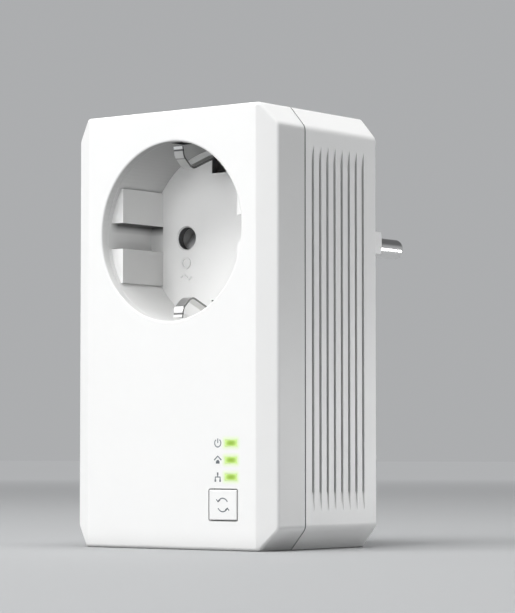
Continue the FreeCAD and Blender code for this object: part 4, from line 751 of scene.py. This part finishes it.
def grown(name, mesh, tree, values, place=Matrix.Identity(4)):
    """Runs a tree over a mesh and returns the plain result as an object at the origin."""
    seed = bpy.data.objects.new(name, mesh)
    bpy.context.scene.collection.objects.link(seed)
    modifier = seed.modifiers.new(tree.name, "NODES")
    modifier.node_group = tree
    set_inputs(modifier, tree, values)
    evaluated = seed.evaluated_get(bpy.context.evaluated_depsgraph_get())
    plain = bpy.data.meshes.new_from_object(evaluated)
    seed.modifiers.clear()
    seed.data = plain
    plain.name = name
    plain.transform(place)
    print(f"{name}: {len(plain.polygons)} faces")
    return seed


def drawing(name, strokes):
    """A mesh of lines only, from strokes of (x, y) points in millimetres."""
    mesh = bpy.data.meshes.new(name)
    points, lines = [], []
    for stroke in strokes:
        first = len(points)
        points += [(x * mm, y * mm, 0.0) for x, y in stroke]
        lines += [(i, i + 1) for i in range(first, len(points) - 1)]
    mesh.from_pydata(points, lines, [])
    return mesh


def arc(radius, start, end, middle=(0.0, 0.0), steps=28):
    """Points along an arc, in degrees anticlockwise from the right."""
    turn = [math.radians(start + (end - start) * i / steps) for i in range(steps + 1)]
    return [(middle[0] + radius * math.cos(t), middle[1] + radius * math.sin(t)) for t in turn]


def on_face(x, y, z):
    """Stands a flat drawing up at a point, facing forward."""
    return Matrix.Translation((x, y, z)) @ Matrix.Rotation(math.pi / 2, 4, "X")


print("An arc has", len(arc(1.0, 0, 90)), "points")


# %% Grey ink
def printing_ink():
    """Slate grey pad printing: slightly uneven where the ink is thin."""
    finish = Finish("slate_grey_ink", IOR=1.5)
    thin = finish.noise(0.25 * mm, 3.0)
    finish.feed("Base Color", finish.mixed(thin * 0.5, (0.15, 0.17, 0.19), (0.26, 0.28, 0.30)))
    finish.feed("Roughness", thin * 0.2 + 0.4)
    finish.relief(thin, 0.004 * mm)
    return finish


finishes["ink"] = printing_ink()
print("The ink is", finishes["ink"].material.name)


# %% Draw and ink the marks
power_sign = [arc(0.86, 125, 415), [(0.0, 0.98), (0.0, 0.0)]]
house_sign = [[(-1.0, -0.02), (0.0, 0.86), (1.0, -0.02)], [(-0.5, -0.62), (0.5, -0.62)],
              [(-0.5, -0.38), (0.5, -0.38)], [(-0.3, -0.14), (0.3, -0.14)]]
network_sign = [[(0.0, 0.7), (0.0, 0.1)], [(-0.66, -0.6), (-0.66, 0.0), (0.66, 0.0), (0.66, -0.6)],
                [(-0.2, 0.86), (0.2, 0.86)], [(-0.2, 0.66), (0.2, 0.66)],
                [(-0.88, -0.72), (-0.44, -0.72)], [(0.44, -0.72), (0.88, -0.72)],
                [(-0.88, -0.9), (-0.44, -0.9)], [(0.44, -0.9), (0.88, -0.9)]]
pairing_sign = [arc(1.45, 28, 152), arc(1.45, 208, 332),
                [(-1.78, 1.20), (-1.28, 0.68), (-0.72, 1.10)],
                [(1.78, -1.20), (1.28, -0.68), (0.72, -1.10)]]

icon_x = window_x - 3.65 * mm
ink_height = 0.01 * mm
marks = [("power_icon", power_sign, 0.26, icon_x, front_face, window_heights[2]),
         ("house_icon", house_sign, 0.32, icon_x, front_face, window_heights[1]),
         ("network_icon", network_sign, 0.30, icon_x, front_face, window_heights[0])]
button_low, button_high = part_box("pair_button")
button_x = (button_low.x + button_high.x) / 2
button_z = (button_low.z + button_high.z) / 2
marks.append(("button_mark", pairing_sign, 0.26, button_x, button_low.y, button_z))
for name, strokes, width, x, y, z in marks:
    values = {"Width": width * mm, "Thickness": 2 * ink_height,
              "Material": finishes["ink"].material}
    mark = grown(name, drawing(name, strokes), ink_lines, values, on_face(x, y, z))
    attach(mark, "button" if name == "button_mark" else "housing")


# %% [markdown]
# ## Raised marks in the socket
#
# A moulder cuts small signs into the tool, which come out raised on the socket's floor. Here they
# are a wave, the sign for alternating current, and a plain ring. Bump in the plastic would be too
# faint under this soft light, so the same ink tree makes them, thicker and in white plastic.

# %% Raised signs under the pin hole
wave_half_width, wave_height, wave_steps = 1.5, 0.55, 24
wave = [(wave_half_width * (2 * i / wave_steps - 1),
         wave_height * math.sin(math.tau * i / wave_steps)) for i in range(wave_steps + 1)]
raised = [("raised_ring", [arc(1.15, 0, 360)], -5.7), ("raised_wave", [wave], -8.9)]
for name, strokes, drop in raised:
    values = {"Width": 0.42 * mm, "Thickness": 0.56 * mm,
              "Material": finishes["white_plastic"].material}
    mark = grown(name, drawing(name, strokes), ink_lines, values,
                 on_face(-pin_x, socket_floor, drop * mm))
    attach(mark, "housing")


# %% [markdown]
# ## Screws
#
# Four self-tapping screws hold the rear housing and six small ones hold the boards. All have the
# same form: a pan head with a rounded rim, a cross recess and a rolled thread. Modelling one and
# copying it would do, but the two sizes would need two models. A Geometry Nodes tree that takes the
# sizes as inputs, and sets a screw on every point of a mesh, makes both.

# %% A tree for cross-head screws
def screw_tree():
    """Sets a screw on every point of a mesh, its head the way that the point's facing says."""
    tree, enter, leave = start_tree(
        "cross_head_screw", Head_Radius="NodeSocketFloat", Head_Height="NodeSocketFloat",
        Shank_Radius="NodeSocketFloat", Length="NodeSocketFloat", Pitch="NodeSocketFloat",
        Seed="NodeSocketInt", Material="NodeSocketMaterial")
    size = {name: enter.outputs[name] for name in
            ("Head_Radius", "Head_Height", "Shank_Radius", "Length", "Pitch")}

    def sum_of(operation, first, second):
        made = tree.nodes.new("ShaderNodeMath")
        made.operation = operation
        for slot, value in zip(made.inputs, (first, second)):
            if isinstance(value, bpy.types.NodeSocket):
                tree.links.new(value, slot)
            else:
                slot.default_value = value
        return made.outputs[0]

    def vector(x=0.0, y=0.0, z=0.0):
        return put(tree, "ShaderNodeCombineXYZ", X=x, Y=y, Z=z).outputs[0]

    # The head: a disc grown upwards in three steps, the last two drawn in for the rounded rim.
    disc = put(tree, "GeometryNodeMeshCircle", {"fill_type": "NGON"}, Vertices=40,
               Radius=size["Head_Radius"])
    shape, top = disc.outputs[0], None
    for share, drawn_in in ((0.5, 1.0), (0.28, 0.93), (0.22, 0.84)):
        grow = {"Mesh": shape, "Offset_Scale": sum_of("MULTIPLY", size["Head_Height"], share)}
        if top is not None:
            grow["Selection"] = top
        raised_step = put(tree, "GeometryNodeExtrudeMesh", None, Individual=False, **grow)
        top = raised_step.outputs["Top"]
        scaled = put(tree, "GeometryNodeScaleElements", Geometry=raised_step.outputs[0],
                     Selection=top, Scale=drawn_in)
        shape = scaled.outputs[0]
    # The cross recess, cut out of the head.
    arm_length = sum_of("MULTIPLY", size["Head_Radius"], 1.15)
    arm_width = sum_of("MULTIPLY", size["Head_Radius"], 0.26)
    depth = sum_of("MULTIPLY", size["Head_Height"], 1.3)
    arms = [put(tree, "GeometryNodeMeshCube", Size=vector(a, b, depth)).outputs[0]
            for a, b in ((arm_length, arm_width), (arm_width, arm_length))]
    lifted = [put(tree, "GeometryNodeTransform", Geometry=arm,
                  Translation=vector(0.0, 0.0, size["Head_Height"])).outputs[0] for arm in arms]
    cut = put(tree, "GeometryNodeMeshBoolean", {"operation": "DIFFERENCE", "solver": "EXACT"})
    tree.links.new(shape, cut.inputs["Mesh 1"])
    for arm in lifted:
        tree.links.new(arm, cut.inputs["Mesh 2"])
    # The shank with its point, and the thread round it.
    shank = put(tree, "GeometryNodeMeshCone", Vertices=24, Side_Segments=6,
                Radius_Top=sum_of("MULTIPLY", size["Shank_Radius"], 0.45),
                Radius_Bottom=sum_of("MULTIPLY", size["Shank_Radius"], 0.86),
                Depth=size["Length"])
    down = vector(0.0, 0.0, sum_of("MULTIPLY", size["Length"], -1.0))
    hung = put(tree, "GeometryNodeTransform", Geometry=shank.outputs[0], Translation=down)
    turns = sum_of("DIVIDE", size["Length"], size["Pitch"])
    helix = put(tree, "GeometryNodeCurveSpiral", Resolution=20, Rotations=turns,
                Start_Radius=sum_of("MULTIPLY", size["Shank_Radius"], 0.42),
                End_Radius=sum_of("MULTIPLY", size["Shank_Radius"], 0.86),
                Height=size["Length"])
    ridge = put(tree, "GeometryNodeCurvePrimitiveCircle", Resolution=4,
                Radius=sum_of("MULTIPLY", size["Shank_Radius"], 0.14))
    thread = put(tree, "GeometryNodeCurveToMesh", Curve=helix.outputs[0],
                 Profile_Curve=ridge.outputs[0], Fill_Caps=True)
    wound = put(tree, "GeometryNodeTransform", Geometry=thread.outputs[0], Translation=down)
    whole = tree.nodes.new("GeometryNodeJoinGeometry")
    for part in (cut, hung, wound):
        tree.links.new(part.outputs[0], whole.inputs[0])
    # Each point says which way its head faces, and each screw stops at its own angle.
    facing = put(tree, "GeometryNodeInputNamedAttribute", {"data_type": "FLOAT_VECTOR"},
                 Name="facing")
    angle = put(tree, "FunctionNodeRandomValue", {"data_type": "FLOAT"}, Seed=enter.outputs["Seed"])
    spin = vector(0.0, 0.0, sum_of("MULTIPLY", angle.outputs[1], math.tau))
    stood = put(tree, "FunctionNodeEulerToRotation", Euler=facing.outputs[0])
    driven = put(tree, "FunctionNodeEulerToRotation", Euler=spin)
    both = put(tree, "FunctionNodeRotateRotation", {"rotation_space": "LOCAL"},
               Rotation=stood.outputs[0], Rotate_By=driven.outputs[0])
    set_in = put(tree, "GeometryNodeInstanceOnPoints", Points=enter.outputs["Geometry"],
                 Instance=whole.outputs[0], Rotation=both.outputs[0])
    finish_tree(tree, set_in.outputs[0], enter.outputs["Material"], leave)
    return tree


screws = screw_tree()
print("The screw tree has", len(screws.nodes), "nodes")


# %% Find each screw of the CAD model
def islands(node):
    """The lumps of a CAD piece from left to right, each as its lowest and highest corner."""
    work = bmesh.new()
    work.from_mesh(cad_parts[node].data)
    bmesh.ops.remove_doubles(work, verts=work.verts, dist=0.001 * mm)
    left, found = set(work.verts), []
    while left:
        lump, edge = set(), [left.pop()]
        while edge:
            vertex = edge.pop()
            lump.add(vertex)
            near = {e.other_vert(vertex) for e in vertex.link_edges} & left
            left -= near
            edge += near
        corners = [[f(v.co[i] for v in lump) for i in range(3)] for f in (min, max)]
        found.append((Vector(corners[0]), Vector(corners[1])))
    work.free()
    return sorted(found, key=lambda corners: tuple(corners[0]))


def screw_points(name, node, head_height):
    """One point under each head, with the way that the head faces."""
    points, facings, lumps = [], [], islands(node)
    middle = sum(low.y + high.y for low, high in lumps) / 2 / len(lumps)
    for low, high in lumps:
        outward = node == "housing_screws" or (low.y + high.y) / 2 < middle
        y = high.y - head_height if outward else low.y + head_height
        points.append(((low.x + high.x) / 2, y, (low.z + high.z) / 2))
        facings.append((-math.pi / 2 if outward else math.pi / 2, 0.0, 0.0))
    mesh = bpy.data.meshes.new(name)
    mesh.from_pydata(points, [], [])
    held = mesh.attributes.new("facing", "FLOAT_VECTOR", "POINT")
    held.data.foreach_set("vector", [number for facing in facings for number in facing])
    return mesh


print(len(islands("housing_screws")), "housing screws,", len(islands("board_screws")), "small ones")


# %% Put the screws in
# For each kind: the head's radius and height, the shank's radius, its length and its pitch, in mm.
kinds = [("housing_screws", 2.7, 1.9, 1.45, 20.0, 1.3), ("board_screws", 2.1, 1.3, 1.1, 6.0, 0.8)]
for node, head_radius, head_height, shank_radius, length, pitch in kinds:
    name = "cross_head_" + node
    points = screw_points(name, node, head_height * mm)
    values = {"Head_Radius": head_radius * mm, "Head_Height": head_height * mm,
              "Shank_Radius": shank_radius * mm, "Length": length * mm, "Pitch": pitch * mm,
              "Seed": 7, "Material": finishes["zinc_steel"].material}
    made = grown(name, points, screws, values)
    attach(made, "housing")
    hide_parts(node)


# %% [markdown]
# ## Floor, light and camera
#
# A white object is drawn by its shading, so the light does most of the work. Six soft lamps share
# it. The strongest hangs overhead and whitens the upper edges. Three stand in front, low, high
# and to the left, and fill the front with even white. The lamp on the right is far weaker, so
# that the side with the vents stays grey, and a small one behind lights that side's rear edge. Six
# lamps of equal strength would wipe these differences out. A picture of a room could replace them
# all, but then no single edge could be tuned. The floor is a plain pale sheet that turns into the
# room's grey far off, so that no hard horizon crosses the picture.

# %% The floor
room_grey = (0.415, 0.4214, 0.43)


def soft_floor():
    """A wide pale floor, just under the base, that melts into the room far off."""
    size, level, reach = 6.0, cad_box[0].z, 2.0
    mesh = bpy.data.meshes.new("floor")
    mesh.from_pydata([(-size, -size, level), (size, -size, level), (size, size, level),
                      (-size, size, level)], [], [(0, 1, 2, 3)])
    floor = bpy.data.objects.new("floor", mesh)
    bpy.context.scene.collection.objects.link(floor)
    finish = Finish("pale_floor", Specular_IOR_Level=0.2, Emission_Strength=1.0)
    x, y, _ = finish.point()
    away = finish.maths("SQRT", x ** 2 + y ** 2)
    cloud = finish.noise(0.4, 3.0)
    far = finish.steps(away / reach, (0.12, 0.0), (0.8, 1.0))
    near = finish.mixed(cloud, (0.32, 0.325, 0.33), (0.35, 0.355, 0.36))
    finish.feed("Base Color", finish.mixed(far, near, grey(0.0)))
    finish.feed("Emission Color", finish.mixed(far, grey(0.0), room_grey))
    finish.feed("Roughness", cloud * 0.1 + 0.75)
    finish.relief(finish.noise(2 * mm), 0.02 * mm)
    mesh.materials.append(finish.material)
    return floor


soft_floor()
print("The floor lies at", round(cad_box[0].z / mm, 2), "mm")


# %% The room's grey
scene = bpy.context.scene
scene.view_settings.view_transform = "Standard"
world = bpy.data.worlds.new("pale_room")
world.use_nodes = True
scene.world = world


def shade_room(behind, before, overhead):
    """Makes the room pale near the floor, less so before the object, and dimmer overhead."""
    room = Shading(world.node_tree, world.node_tree.nodes["Background"])
    _, along, up = room.axes(room.node("ShaderNodeTexCoord", out="Generated"))
    horizon = room.eased(along, -0.6, 0.4, before, behind)
    room.feed("Strength", room.eased(up, 0.2, 0.5, horizon, overhead))
    room.shader.inputs["Color"].default_value = (0.965, 0.98, 1.0, 1.0)
    print("Room levels behind, before and over the object:", behind, before, overhead)


shade_room(0.43, 0.2, 0.15)


# %% The lamps and the camera
def aimed(name, data, place, direction):
    """Puts a lamp or a camera at a place and turns it in a direction."""
    holder = bpy.data.objects.new(name, data)
    scene.collection.objects.link(holder)
    holder.location = place
    holder.rotation_euler = direction.to_track_quat("-Z", "Y").to_euler()
    return holder


def lamp(name, place, side, watts):
    """A soft square lamp that looks at the middle of the body."""
    light = bpy.data.lights.new(name, "AREA")
    light.shape = "SQUARE"
    light.size = side
    light.energy = watts
    aimed(name, light, place, body_middle - Vector(place))
    print(f"{name}: {watts} W at {place}")


body_middle = Vector((0.0, -0.02, -0.02))
lamp("low_lamp", (-0.10, -1.30, 0.35), 0.6, 4.9)
lamp("high_lamp", (-0.10, -0.75, 1.15), 0.6, 7.4)
lamp("left_lamp", (-0.75, -0.85, 0.80), 0.6, 7.4)
lamp("back_lamp", (0.20, 0.24, -0.09), 0.12, 0.68)
lamp("top_lamp", (0.05, -0.05, 1.28), 0.7, 16.5)
lamp("right_lamp", (0.75, -1.10, 0.25), 0.4, 0.6)

camera = bpy.data.cameras.new("camera")
camera.lens = 153.44
camera.sensor_width = 36.0
camera_place = (0.3677, -0.4870, -0.0496)
camera_direction = Vector((-0.60756, 0.79226, 0.05656))
scene.camera = aimed("camera", camera, camera_place, camera_direction)
print("Camera", round(scene.camera.location.length, 3), "m from the origin")
